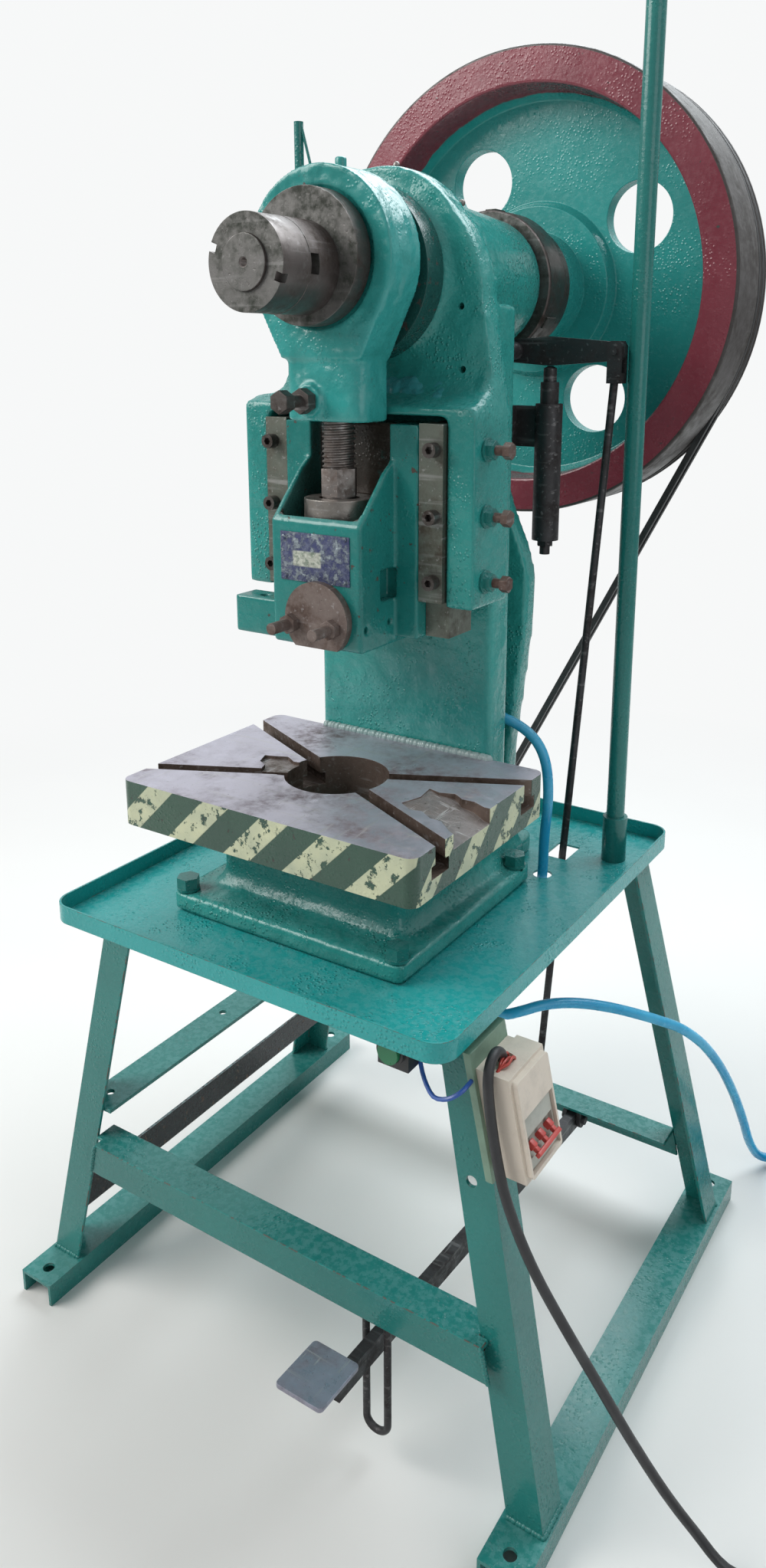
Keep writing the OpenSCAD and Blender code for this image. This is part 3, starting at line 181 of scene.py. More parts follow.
cable_rubber = rubber("cable_rubber", (0.018, 0.018, 0.020), gloss=0.42, grain=900)
cable_points = [(266, -20, 497), (266, -25, 511), (266, -36, 518), (267, -48, 513), (269, -55, 498),
                (273, -57, 471), (279, -58, 439), (289, -59, 400), (303, -57, 360), (322, -53, 318),
                (347, -45, 270), (378, -32, 210), (408, -18, 150), (438, -2, 92), (465, 14, 45),
                (497, 20, 14), (535, 31, 6), (553, 36, 6), (572.6, 41.9, 5.6)]
cable_route = eased_route(cable_points, 4)[:-1]
cable_route += coil_turns(centre=(591, -22), outer=66.5, inner=55.5, low=5.6, high=16.6, start=106.1,
                          end=1096.1)
cable_route += [Vector((603, 44.5, 16.9)), Vector((614, 44.5, 17.6)), Vector((627, 44.5, 18))]
power_cable, cable_length = cord_curve("mains_cable", cable_route, radius=5, material=cable_rubber)
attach(power_cable, "frame")
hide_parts("power_cable", "cable_coil")

hose_blue, tree, shader, where = new_material("hose_blue")
rubbed = span(tree, noise(tree, where, 22, 4), 0.42, 0.72)
feed(tree, shader, Base_Color=tint(tree, rubbed, (0.02, 0.33, 0.58), (0.07, 0.46, 0.70)),
     Roughness=span(tree, noise(tree, where, 45, 4), 0.3, 0.7, 0.16, 0.38))
shader.inputs["Subsurface Weight"].default_value = 0.25
shader.inputs["Subsurface Radius"].default_value = (0.002, 0.004, 0.006)
hose_points = [(90, 279, 722), (119, 284, 712), (142, 285, 696), (155, 285, 670), (159, 285, 630),
               (156, 285, 580), (155, 285, 533), (153, 278, 485), (147, 256, 444), (140, 228, 414),
               (141, 205, 399), (155, 195, 395), (173, 202, 401), (190, 219, 405), (208, 239, 404),
               (228, 261, 398), (250, 286, 387), (270, 311, 373), (290, 341, 354), (308, 372, 332),
               (325, 408, 296), (338, 447, 246), (347, 487, 186), (352, 527, 123), (355, 562, 66),
               (362, 594, 26), (378, 622, 9), (398, 640, 7), (421.8, 657.6, 6.2)]
hose_route = eased_route(hose_points, 4)[:-1]
hose_route += coil_turns(centre=(465, 600), outer=72, inner=60, low=6.2, high=18.2, start=126.9, end=1190)
air_hose, hose_length = cord_curve("air_hose_tube", hose_route, radius=6, material=hose_blue)
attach(air_hose, "frame")
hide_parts("air_hose", "hose_coil")


# Stand. Skids are folded channel, legs and cross members are rolled angle, all cut, welded and
# sprayed with sea-green enamel that has a coarse, spattered skin and is rubbed through on edges.
def sums(tree, how, a, b=0.5):
    return put(tree, "ShaderNodeMath", {"operation": how}, i0=a, i1=b).outputs[0]


def times(tree, a, b):
    return sums(tree, "MULTIPLY", a, b)


def plus(tree, a, b):
    return sums(tree, "ADD", a, b)


def less(tree, a, b):
    return sums(tree, "SUBTRACT", a, b)


def surface_group(name, inputs, outputs):
    """An empty node group with these inputs, a place, colours or numbers, and its ends."""
    group = bpy.data.node_groups.new(name, "ShaderNodeTree")
    for socket, value in inputs.items():
        kind = {type(None): "NodeSocketVector", tuple: "NodeSocketColor"}.get(type(value), "NodeSocketFloat")
        made = group.interface.new_socket(socket, in_out="INPUT", socket_type=kind)
        if value is not None:
            made.default_value = (*value, 1.0) if isinstance(value, tuple) else value
    for socket in outputs:
        kind = "NodeSocketColor" if socket == "Color" else "NodeSocketFloat"
        group.interface.new_socket(socket, in_out="OUTPUT", socket_type=kind)
    return group, group.nodes.new("NodeGroupInput").outputs, group.nodes.new("NodeGroupOutput").inputs


enamel_group, given, result = surface_group(
    "enamel_skin", {"Where": None, "Enamel": (0.03, 0.22, 0.18), "Shade": (0.015, 0.12, 0.1),
                    "Bare": (0.09, 0.08, 0.075), "Lumps": 0.5, "Spatter": 0.5, "Chips": 0.3, "Dust": 0.3},
    ["Color", "Roughness", "Height"])
tree, where = enamel_group, given["Where"]
broad = noise(tree, where, 5.5, 4)
clouds = noise(tree, where, 21, 5)
lump = noise(tree, where, 46, 1.6, 0.45)
roll = noise(tree, where, 19, 1.5, 0.5)
pebble = noise(tree, where, 260, 2)
drops = put(tree, "ShaderNodeTexVoronoi", {"feature": "SMOOTH_F1"}, Vector=where, Scale=240, Smoothness=0.3)
drop = times(tree, span(tree, drops.outputs[0], 0.42, 0.12), span(tree, clouds, 0.47, 0.62))
painted = tint(tree, span(tree, broad, 0.35, 0.68), given["Enamel"], given["Shade"])
painted = tint(tree, times(tree, span(tree, clouds, 0.5, 0.8), 0.3), painted, given["Enamel"])
up = put(tree, "ShaderNodeSeparateXYZ", i0=put(tree, "ShaderNodeNewGeometry").outputs["Normal"]).outputs[2]
settled = times(tree, span(tree, up, 0.55, 1.0), span(tree, noise(tree, where, 130, 6, 0.7), 0.40, 0.70))
settled = times(tree, settled, given["Dust"])
painted = tint(tree, settled, painted, (0.22, 0.42, 0.43))
chip_line = less(tree, 0.80, times(tree, given["Chips"], 0.22))
flake = noise(tree, where, 95, 6, 0.68)
chip = span(tree, less(tree, flake, chip_line), -0.004, 0.006)
tree.links.new(tint(tree, chip, painted, given["Bare"]), result["Color"])
coarse = span(tree, noise(tree, where, 130, 3), 0.3, 0.7, 0.14, 0.34)
coarse = plus(tree, coarse, times(tree, settled, 0.35))
tree.links.new(plus(tree, coarse, times(tree, chip, 0.3)), result["Roughness"])
high = times(tree, plus(tree, lump, times(tree, roll, 1.6)), given["Lumps"])
spatter = times(tree, plus(tree, drop, times(tree, pebble, 0.5)), given["Spatter"])
high = plus(tree, high, spatter)
tree.links.new(less(tree, high, times(tree, chip, 0.22)), result["Height"])


def enamel(name, colour, shade, lumps, spatter, chips, dust, bare=(0.09, 0.08, 0.075), depth=0.0011):
    """Brushed or sprayed enamel over steel or rough iron."""
    material, tree, shader, where = new_material(name)
    skin = put(tree, "ShaderNodeGroup", {"node_tree": enamel_group}, Where=where, Enamel=(*colour, 1),
               Shade=(*shade, 1), Bare=(*bare, 1), Lumps=lumps, Spatter=spatter, Chips=chips, Dust=dust)
    feed(tree, shader, Base_Color=skin.outputs["Color"], Roughness=skin.outputs["Roughness"])
    emboss(tree, shader, 0.8, depth, skin.outputs["Height"])
    shader.inputs["Specular IOR Level"].default_value = 0.38
    shader.inputs["Coat Weight"].default_value = 0.16
    shader.inputs["Coat Roughness"].default_value = 0.10
    return material


def copy_of(node):
    """A merged copy of a solid's mesh, as the active object."""
    piece = bpy.data.objects.new(node + "_finish", frame["nodes"][node].data.copy())
    bpy.context.collection.objects.link(piece)
    deselect()
    bpy.context.view_layer.objects.active = piece
    piece.select_set(True)
    piece.data.materials.clear()
    bpy.ops.mesh.customdata_custom_splitnormals_clear()
    bpy.ops.object.mode_set(mode="EDIT")
    bpy.ops.mesh.select_all(action="SELECT")
    bpy.ops.mesh.remove_doubles(threshold=0.00002)
    bpy.ops.mesh.dissolve_limited(angle_limit=math.radians(0.5))
    bpy.ops.object.mode_set(mode="OBJECT")
    return piece


def use(piece, kind, **settings):
    """Adds one modifier to the active piece and applies it."""
    bpy.ops.object.modifier_add(type=kind)
    modifier = piece.modifiers[-1]
    for name, value in settings.items():
        setattr(modifier, name, value)
    bpy.ops.object.modifier_apply(modifier=modifier.name)


def carve(piece, cutters):
    """Takes the cutters' shapes out of the active piece, and the cutters away."""
    for cutter in cutters:
        use(piece, "BOOLEAN", operation="DIFFERENCE", object=cutter, solver="EXACT")
        bpy.data.objects.remove(cutter)


body_of = {node: body for body, nodes in frame["record"]["behaviour"]["bodies"].items() for node in nodes}


def finished(node, slot, *materials, soft=0.8, edge=0, cutters=()):
    """The solid with its edges eased by soft millimetres; they take the material whose number is edge."""
    sharp = math.radians(38)
    piece = copy_of(node)
    carve(piece, cutters)
    for material in materials:
        piece.data.materials.append(material)
    if soft:
        use(piece, "BEVEL", width=soft / 1000, segments=2, limit_method="ANGLE", angle_limit=sharp,
            material=edge)
    bpy.ops.object.shade_smooth_by_angle(angle=sharp)
    use(piece, "WEIGHTED_NORMAL", keep_sharp=True)
    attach(piece, body_of[node])
    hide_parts(node)
    return piece


sea_green, deep_green = (0.036, 0.310, 0.280), (0.020, 0.228, 0.206)
stand_enamel = enamel("stand_enamel", (0.018, 0.190, 0.170), (0.013, 0.150, 0.136),
                      lumps=0.14, spatter=0.55, chips=0.25, dust=0.28)
stand_edge = enamel("stand_edge", (0.015, 0.200, 0.180), deep_green,
                    lumps=0.10, spatter=0.4, chips=1.25, dust=0.1, bare=(0.10, 0.08, 0.065))
for member in ("skid_left", "skid_right", "leg_front_left", "leg_front_right", "leg_rear_left",
               "leg_rear_right", "crossbar_front", "crossbar_rear", "flat_bar", "motor_bracket"):
    finished(member, "stand_enamel", stand_enamel, stand_edge, soft=0.9, edge=1)
# The side rail is coloured near black as painted shade; its rusty chips and dust are wear.
rail_painted_shade = enamel("rail_painted_shade", (0.030, 0.034, 0.036), (0.018, 0.020, 0.022),
                    lumps=0.2, spatter=0.5, chips=0.8, dust=0.5, bare=(0.12, 0.08, 0.06))
finished("side_rail", "rail_steel", rail_painted_shade, soft=0.9)


# Weld beads. Short runs of arc weld join the legs to the skids and the tray, and the cross members
# to the legs; they are left as laid, a row of small overlapping scales under the paint.
foot_weld, top_weld, cross_weld = 3.2, 2.6, 2.4


def weld_bead(name, start, end, size=foot_weld, material=stand_enamel):
    """A row of scales of size millimetres' radius, each laid about 0.62 of it on from the last."""
    start, end = at(*start), at(*end)
    run = end - start
    count = max(3, int(run.length / (size / 1000 * 0.62)))
    deselect()
    bpy.ops.mesh.primitive_uv_sphere_add(segments=10, ring_count=6, radius=size / 1000, location=(0, 0, 0))
    bead = bpy.context.object
    bead.name = name
    use(bead, "ARRAY", count=count, use_relative_offset=False, use_constant_offset=True,
        constant_offset_displace=run / (count - 1))
    for i, vertex in enumerate(bead.data.vertices):
        which = i // (len(bead.data.vertices) // count)
        sway = 0.0005 * math.sin(which * 2.4 + start.x * 900)
        vertex.co += start + Vector((sway, sway * 0.6, -sway))
    bpy.ops.object.shade_smooth()
    bead.data.materials.append(material)
    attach(bead, "frame")


leg_foot, leg_top, leg_wide = 29, 531, 38
foot_corner, lean = (343, -60, 462), (-107, 32, -50)


def leg_corner(z):
    """The outer corner of a leg at a height: sideways, front and rear."""
    t = (z - leg_foot) / (leg_top - leg_foot)
    return [foot + over * t for foot, over in zip(foot_corner, lean)]


for side, sign in (("left", -1), ("right", 1)):
    x, front, rear = leg_corner(leg_foot)
    across, outer, z = sign * (x - leg_wide), sign * (x - 2), leg_foot + 1
    weld_bead(f"weld_foot_front_{side}", (across, front + 1, z), (outer, front + 1, z))
    weld_bead(f"weld_foot_side_{side}", (sign * (x - 1), front + 3, z), (sign * (x - 1), front + leg_wide, z))
    weld_bead(f"weld_foot_rear_{side}", (across, rear - 1, z), (outer, rear - 1, z))
    x, front, rear = leg_corner(leg_top)
    across, outer, z = sign * (x - leg_wide), sign * (x - 2), leg_top - 1.5
    weld_bead(f"weld_top_front_{side}", (across, front + 1, z), (outer, front + 1, z), size=top_weld)
    weld_bead(f"weld_top_side_{side}", (sign * (x - 1), front + 3, z), (sign * (x - 1), front + leg_wide, z),
              size=top_weld)
    x = leg_corner(196)[0] - 40
    weld_bead(f"weld_cross_{side}", (sign * (x + 3) + 9, -62, 179), (sign * (x - 5) + 9, -62, 214),
              size=cross_weld)


# Tray. Folded from thin sheet with a low rim and round corners and welded to the leg tops, with
# openings for the pull rod and the hose. Oil and dust have settled on it.
# The tray's enamel is painted lighter and bluer than the stand's: sea-green paint with a painted sky
# reflection on its top.
tray_enamel_and_sheen = enamel("tray_enamel_and_sheen", (0.016, 0.335, 0.330), (0.012, 0.280, 0.275),
                     lumps=0.16, spatter=1.0, chips=0.3, dust=0.3)
finished("tray", "stand_enamel", tray_enamel_and_sheen, stand_edge, soft=0.7, edge=1)


# Frame. One iron casting, filled and brushed with thick glossy enamel: every edge is round and the
# flat sides roll and dimple. The casting's own skin shows through as lumps and small pits.
def cast_finish(node, material, grain, rounds, cutters=()):
    """The solid with a cast skin: rebuilt in even cells of grain millimetres, then eased and drilled."""
    piece = copy_of(node)
    use(piece, "REMESH", mode="VOXEL", voxel_size=grain / 1000)
    use(piece, "SMOOTH", factor=0.5, iterations=rounds)
    carve(piece, cutters)
    bpy.ops.object.shade_smooth_by_angle(angle=math.radians(60))
    piece.data.materials.append(material)
    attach(piece, body_of[node])
    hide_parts(node)
    return piece


def put_down(name):
    """Names the primitive that was just added, and moves its place from the object into its mesh."""
    piece = bpy.context.object
    piece.name = name
    piece.data.transform(piece.matrix_world)
    piece.matrix_world.identity()
    return piece


def drill(x, z, front, depth, radius):
    """A round cutter along Y, which starts 6 mm in front of the face."""
    deselect()
    bpy.ops.mesh.primitive_cylinder_add(
        vertices=20, radius=radius / 1000, depth=(depth + 6) / 1000,
        location=at(x, front + depth / 2 - 3, z), rotation=(math.radians(90), 0, 0))
    return put_down("bit")


casting_enamel = enamel("casting_enamel", sea_green, deep_green,
                        lumps=1.0, spatter=0.35, chips=0.30, dust=0.25, bare=(0.05, 0.05, 0.045),
                        depth=0.0042)
oil_holes = [drill(x, z, front=175, depth=14, radius=3.6) for x, z in ((99, 1176), (102, 1115))]
cast_finish("frame_casting", casting_enamel, grain=4.2, rounds=4, cutters=oil_holes)


# Filler. The hollow over the right guide, under the arch, was built up with body filler by hand,
# left lumpy, and painted with a paler coat than the casting.
filler = enamel("filler", (0.055, 0.330, 0.350), (0.030, 0.235, 0.250),
                lumps=1.4, spatter=0.3, chips=0.3, dust=0.3, depth=0.0040)
deselect()
bpy.ops.mesh.primitive_cube_add(size=2, location=(0, 0, 0))
arch_filler = bpy.context.object
arch_filler.name = "arch_filler"
filler_middle, filler_half, filler_foot = 51, 43, 1072.5
wedge = {(-1, -1): (138, filler_foot), (-1, 1): (143, 1081), (1, -1): (177, filler_foot), (1, 1): (177, 1114)}
for vertex in arch_filler.data.vertices:
    side, depth, height = [round(v) for v in vertex.co]
    vertex.co = at(filler_middle + filler_half * side, *wedge[depth, height])
use(arch_filler, "REMESH", mode="VOXEL", voxel_size=0.0025)
use(arch_filler, "SMOOTH", factor=0.5, iterations=8)
open_face = at(0, 172, 1076)
for vertex in arch_filler.data.vertices:
    if vertex.co.y < open_face.y and vertex.co.z > open_face.z:
        swell = 0.0045 * waves.noise(vertex.co * 45) + 0.0018 * waves.noise(vertex.co * 150)
        vertex.co += vertex.normal * swell
bpy.ops.object.shade_smooth()
arch_filler.data.materials.append(filler)
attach(arch_filler, "frame")


# Bolster. A planed iron plate with a large hole and four clamping slots. Its top is bare and worn,
# and its pale grey purple colour is partly a painted reflection; the front and sides carry flaked
# pale stripes on dark green paint.
steel_group, given, result = surface_group(
    "worn_steel", {"Where": None, "Steel": (0.30, 0.28, 0.27), "Stain": (0.10, 0.075, 0.06), "Stains": 0.5,
                   "Scratches": 0.5, "Pits": 0.3}, ["Color", "Roughness", "Height"])
tree, where = steel_group, given["Where"]
patch = noise(tree, where, 17, 6, 0.62)
small = noise(tree, where, 85, 6, 0.65)
stain = span(tree, plus(tree, patch, times(tree, given["Stains"], 0.22)), 0.52, 0.74)
stain = times(tree, stain, span(tree, small, 0.3, 0.6))
steel = tint(tree, stain, given["Steel"], given["Stain"])
lengthened = put(tree, "ShaderNodeMapping", Vector=where, Scale=(9, 160, 160))
crossed = put(tree, "ShaderNodeMapping", Vector=where, Rotation=(0.4, 0.3, 0.9), Scale=(240, 14, 240))
scratch = span(tree, noise(tree, lengthened.outputs[0], 1.0, 3.0, 0.5), 0.60, 0.72)
nick = span(tree, noise(tree, crossed.outputs[0], 1.0, 3.0, 0.5), 0.63, 0.70)
scratch = times(tree, sums(tree, "MAXIMUM", scratch, nick), given["Scratches"])
steel = tint(tree, scratch, steel, (0.46, 0.45, 0.45))
pit = times(tree, span(tree, noise(tree, where, 330, 3), 0.64, 0.72), given["Pits"])
steel = tint(tree, pit, steel, (0.05, 0.04, 0.035))
tree.links.new(steel, result["Color"])
matt = plus(tree, span(tree, small, 0.3, 0.7, 0.22, 0.42), times(tree, stain, 0.28))
tree.links.new(matt, result["Roughness"])
dent = less(tree, times(tree, small, 0.6), plus(tree, times(tree, scratch, 0.3), pit))
tree.links.new(dent, result["Height"])


def worn_steel(name, colour, stain, stains, scratches, pits, metal=0.85, depth=0.0005, duller=0.0):
    """Bare steel that has been handled and oiled for years."""
    material, tree, shader, where = new_material(name)
    skin = put(tree, "ShaderNodeGroup", {"node_tree": steel_group}, Where=where, Steel=(*colour, 1),
               Stain=(*stain, 1), Stains=stains, Scratches=scratches, Pits=pits)
    feed(tree, shader, Base_Color=skin.outputs["Color"],
         Roughness=plus(tree, skin.outputs["Roughness"], duller))
    shader.inputs["Metallic"].default_value = metal
    emboss(tree, shader, 0.7, depth, skin.outputs["Height"])
    return material


# The top's pale grey purple colour is worn bare steel with a painted reflection.
bolster_top_and_sheen = worn_steel("bolster_top_and_sheen", (0.50, 0.48, 0.55), (0.16, 0.13, 0.14),
                         stains=0.36, scratches=0.6, pits=0.3, metal=0.65, duller=0.05)
bolster_bore = worn_steel("bolster_bore", (0.16, 0.12, 0.10), (0.06, 0.04, 0.03),
                          stains=0.8, scratches=0.3, pits=0.5, metal=0.6, duller=0.15)
torn_steel = worn_steel("torn_steel", (0.27, 0.245, 0.24), (0.12, 0.095, 0.08),
                        stains=0.6, scratches=1.0, pits=0.7, metal=0.6, depth=0.0045, duller=0.16)


def prism(outline, low, high):
    """A closed cutter with this outline in plan, in millimetres, from low to high."""
    deselect()
    bpy.ops.mesh.primitive_circle_add(vertices=len(outline), radius=1, fill_type="NGON", location=(0, 0, 0))
    solid = bpy.context.object
    for vertex, (x, y) in zip(solid.data.vertices, outline):
        vertex.co = at(x, y, low)
    bpy.ops.object.mode_set(mode="EDIT")
    bpy.ops.mesh.select_all(action="SELECT")
    bpy.ops.mesh.extrude_region_move(TRANSFORM_OT_translate={"value": (0, 0, (high - low) / 1000)})
    bpy.ops.mesh.select_all(action="SELECT")
    bpy.ops.mesh.normals_make_consistent(inside=False)
    bpy.ops.object.mode_set(mode="OBJECT")
    return solid


left_gouge = prism([(-103, 93), (-96, 76), (-84, 70), (-79, 57), (-66, 59), (-53, 53), (-40, 57), (-28, 53),
                    (-30, 78), (-44, 83), (-52, 96), (-63, 94), (-78, 103), (-90, 97)], low=686.0, high=698)
right_gouge = prism([(102, 60), (118, 50), (131, 53), (146, 43), (160, 42), (176, 28), (199, 14), (201, 54),
                     (199, 96), (178, 95), (163, 102), (149, 101), (136, 110), (120, 104), (106, 108),
                     (110, 84)], low=688.6, high=698)
floor_below, gouge_deepens_from, gouge_slope = 0.69, 0.110, 0.20
for vertex in right_gouge.data.vertices:
    if vertex.co.z < floor_below:
        vertex.co.z -= max(0.0, vertex.co.x - gouge_deepens_from) * gouge_slope
bolster_paint, tree, shader, where = new_material("bolster_paint")
skin = put(tree, "ShaderNodeGroup", {"node_tree": enamel_group}, Where=where, Enamel=(0.030, 0.085, 0.055, 1),
           Shade=(0.018, 0.055, 0.04, 1), Bare=(0.05, 0.045, 0.04, 1), Lumps=0.5, Spatter=0.3, Chips=0.7,
           Dust=0.3)
part = put(tree, "ShaderNodeSeparateXYZ", i0=where)
on_side = span(tree, part.outputs[0], 0.1835, 0.1845)
along_front = less(tree, part.outputs[0], part.outputs[2])
along_side = less(tree, plus(tree, part.outputs[1], 0.455), part.outputs[2])
along_edge = plus(tree, times(tree, along_front, less(tree, 1.0, on_side)),
                  times(tree, along_side, on_side))
stripe_pitch, stripe_start = 0.0755, 20.0596
beat = sums(tree, "FRACT", plus(tree, times(tree, along_edge, 1 / stripe_pitch), stripe_start))
stripe = times(tree, span(tree, beat, 0.0, 0.012), span(tree, beat, 0.47, 0.458))
flaked = span(tree, noise(tree, where, 75, 7, 0.72), 0.565, 0.55)
stripe = times(tree, stripe, flaked)
stripe = times(tree, stripe, span(tree, part.outputs[1], 0.0, -0.002))
yellow = tint(tree, span(tree, noise(tree, where, 30, 5), 0.35, 0.7), (0.58, 0.60, 0.40), (0.42, 0.46, 0.33))
feed(tree, shader, Base_Color=tint(tree, stripe, skin.outputs["Color"], yellow),
     Roughness=plus(tree, skin.outputs["Roughness"], times(tree, stripe, 0.2)))
emboss(tree, shader, 0.8, 0.0012, plus(tree, skin.outputs["Height"], times(tree, stripe, 0.25)))
bolster = finished("bolster", "bolster_steel", bolster_top_and_sheen, bolster_paint, bolster_bore, torn_steel,
                   soft=1.4, cutters=(left_gouge, right_gouge))
is_top, is_paint, is_bore, is_torn = range(4)
side_x, front_y, rear_y, top_z, torn_z = 0.1835, -0.2685, -0.0055, 0.6895, 0.668
round_x, round_front, round_rear, round_r = 0.173, -0.258, -0.017, 0.0105
for face in bolster.data.polygons:
    x, y, z = face.center
    past_x, past_y = abs(x) - round_x, max(round_front - y, y - round_rear)
    at_corner = past_x > 0 and past_y > 0 and math.hypot(past_x, past_y) > round_r
    outside = abs(x) > side_x or y < front_y or y > rear_y or at_corner
    if face.normal.z > 0.5 and z > top_z:
        face.material_index = is_top
    elif outside and abs(face.normal.z) < 0.6:
        face.material_index = is_paint
    elif z > torn_z and face.normal.z > 0.5:
        face.material_index = is_torn
    else:
        face.material_index = is_bore
caulk = enamel("caulk", (0.36, 0.44, 0.43), (0.18, 0.30, 0.29), lumps=0.8, spatter=0.5, chips=0.5, dust=0.3)
weld_bead("foot_caulk", (-106, 216, 691), (116, 216, 691), size=5.2, material=caulk)
finished("hold_down_bolts", "dark_steel", stand_enamel, soft=0.6)


# Guides. Steel gib strips are held to the cheeks by socket screws and set from the right by three
# rusty bolts, whose lock nuts were painted over with the frame. Grease nipples feed them.
dark_steel = worn_steel("dark_steel", (0.10, 0.09, 0.085), (0.045, 0.035, 0.03),
                        stains=0.7, scratches=0.25, pits=0.4, metal=0.7, duller=0.1)
bare_steel = worn_steel("bare_steel", (0.22, 0.20, 0.19), (0.08, 0.055, 0.045),
                        stains=0.55, scratches=0.45, pits=0.3, duller=0.04)
gib_steel = worn_steel("gib_steel", (0.155, 0.172, 0.145), (0.075, 0.065, 0.05),
                       stains=0.6, scratches=0.4, pits=0.4, metal=0.7, duller=0.08)
rusty_steel = worn_steel("rusty_steel", (0.15, 0.105, 0.09), (0.085, 0.045, 0.035),
                         stains=0.9, scratches=0.3, pits=0.5, metal=0.6, duller=0.12)
for side in ("left", "right"):
    finished(f"gib_{side}", "bright_steel", gib_steel, soft=0.8)
finished("gib_screws", "dark_steel", dark_steel, soft=0.5)
bolts = finished("adjusting_bolts", "bright_steel", rusty_steel, stand_enamel, soft=0.5)
bare_length = 0.0172
bare_from = max(vertex.co.x for vertex in bolts.data.vertices) - bare_length
for face in bolts.data.polygons:
    face.material_index = 1 if face.center.x < bare_from else 0
finished("grease_nipples", "bright_steel", bare_steel, soft=0)


# Posts. A tall length of gas pipe stands in a socket on the tray's right rear, and a thin rod with a
# bent wire stands on the left of the head. Both are sprayed with the stand's enamel.
finished("tall_post", "stand_enamel", stand_enamel, soft=0.5)
finished("head_post", "stand_enamel", stand_enamel, soft=0)


# Slide. An iron casting with a front box, an open pocket for the ball and guide flanges behind,
# enamelled with the frame. A round cap on two studs clamps the shank of the tool.
def pocket_grime(material, low, high, colour, strength):
    """Old grease: darkens an enamel inside a box, given in metres, with a ragged edge."""
    tree = material.node_tree
    shader = tree.nodes["Principled BSDF"]
    where = put(tree, "ShaderNodeTexCoord").outputs["Object"]
    part = put(tree, "ShaderNodeSeparateXYZ", i0=where)
    inside = strength
    for axis in range(3):
        middle, half = (high[axis] + low[axis]) / 2, (high[axis] - low[axis]) / 2
        reach = sums(tree, "ABSOLUTE", less(tree, part.outputs[axis], middle))
        inside = times(tree, inside, span(tree, reach, half, half - 0.0015))
    inside = times(tree, inside, span(tree, noise(tree, where, 34, 5), 0.22, 0.42))
    was = shader.inputs["Base Color"].links[0].from_socket
    feed(tree, shader, Base_Color=tint(tree, inside, was, colour))


slide_enamel = enamel("slide_enamel", (0.020, 0.235, 0.212), (0.012, 0.160, 0.146),
                      lumps=0.9, spatter=0.2, chips=0.7, dust=0.2, bare=(0.07, 0.045, 0.035), depth=0.0020)
pocket_grime(slide_enamel, at(-49.8, 61.5, 955), at(49.8, 152, 1075), colour=(0.045, 0.022, 0.016),
             strength=0.92)
cast_finish("slide", slide_enamel, grain=1.8, rounds=3)
cap_steel = worn_steel("cap_steel", (0.215, 0.175, 0.16), (0.11, 0.075, 0.062),
                       stains=0.8, scratches=0.35, pits=0.5, metal=0.6, duller=0.12)
finished("shank_cap", "bright_steel", cap_steel, soft=1.0)
finished("shank_studs", "bright_steel", cap_steel, soft=0.6)
ring_steel = worn_steel("ring_steel", (0.27, 0.25, 0.23), (0.11, 0.08, 0.065),
                        stains=0.5, scratches=0.45, pits=0.3)
finished("ball_ring", "bright_steel", ring_steel, soft=1.2)


# Name plate. A small blank plate of aluminium, held to the front of the slide by four rivets. Its
# blue coat is scuffed down to the metal, with one pale patch left in the middle.
plate_metal, tree, shader, where = new_material("plate_metal")
scuffed = span(tree, noise(tree, where, 95, 8, 0.75), 0.50, 0.56)
bruise = span(tree, noise(tree, where, 150, 5, 0.7), 0.46, 0.60)
part = put(tree, "ShaderNodeSeparateXYZ", i0=where)
from_middle = sums(tree, "ABSOLUTE", plus(tree, part.outputs[0], 0.0095))
from_level = sums(tree, "ABSOLUTE", less(tree, part.outputs[2], 0.929))
in_patch = times(tree, span(tree, from_middle, 0.0185, 0.0165), span(tree, from_level, 0.0085, 0.0070))
coat_blue = tint(tree, bruise, (0.034, 0.044, 0.125), (0.10, 0.12, 0.20))
worn_coat = tint(tree, scuffed, coat_blue, (0.24, 0.28, 0.31))
worn_coat = tint(tree, in_patch, worn_coat, tint(tree, bruise, (0.52, 0.54, 0.47), (0.25, 0.30, 0.24)))
feed(tree, shader, Base_Color=worn_coat, Roughness=span(tree, scuffed, 0.0, 1.0, 0.42, 0.30),
     Metallic=span(tree, scuffed, 0.0, 1.0, 0.1, 0.7))
emboss(tree, shader, 0.8, 0.0008, plus(tree, bruise, scuffed))


def joined(pieces):
    """Joins the pieces into the first of them."""
    deselect()
    for piece in pieces:
        piece.select_set(True)
    bpy.context.view_layer.objects.active = pieces[0]
    bpy.ops.object.join()
    return pieces[0]


plate_size, rivet_r = (0.086, 0.0016, 0.050), 0.0026
deselect()
bpy.ops.mesh.primitive_cube_add(size=1, location=(0, 0, 0))
name_plate = bpy.context.object
name_plate.name = "name_plate"
name_plate.data.transform(Matrix.Translation(at(0, 56.6, 930.5)) @ Matrix.Diagonal((*plate_size, 1)))
use(name_plate, "BEVEL", width=0.0006, segments=2)
rivets = []
for x, z in ((-38, 950), (38, 953), (37, 910), (-37, 909)):
    deselect()
    bpy.ops.mesh.primitive_uv_sphere_add(segments=16, ring_count=8, radius=rivet_r)
    bpy.context.object.data.transform(Matrix.Translation(at(x, 55.6, z)) @ Matrix.Diagonal((1, 0.6, 1, 1)))
    rivets.append(bpy.context.object)
joined([name_plate, *rivets])
bpy.ops.object.shade_smooth_by_angle(angle=math.radians(40))
name_plate.data.materials.append(plate_metal)
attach(name_plate, "ram")


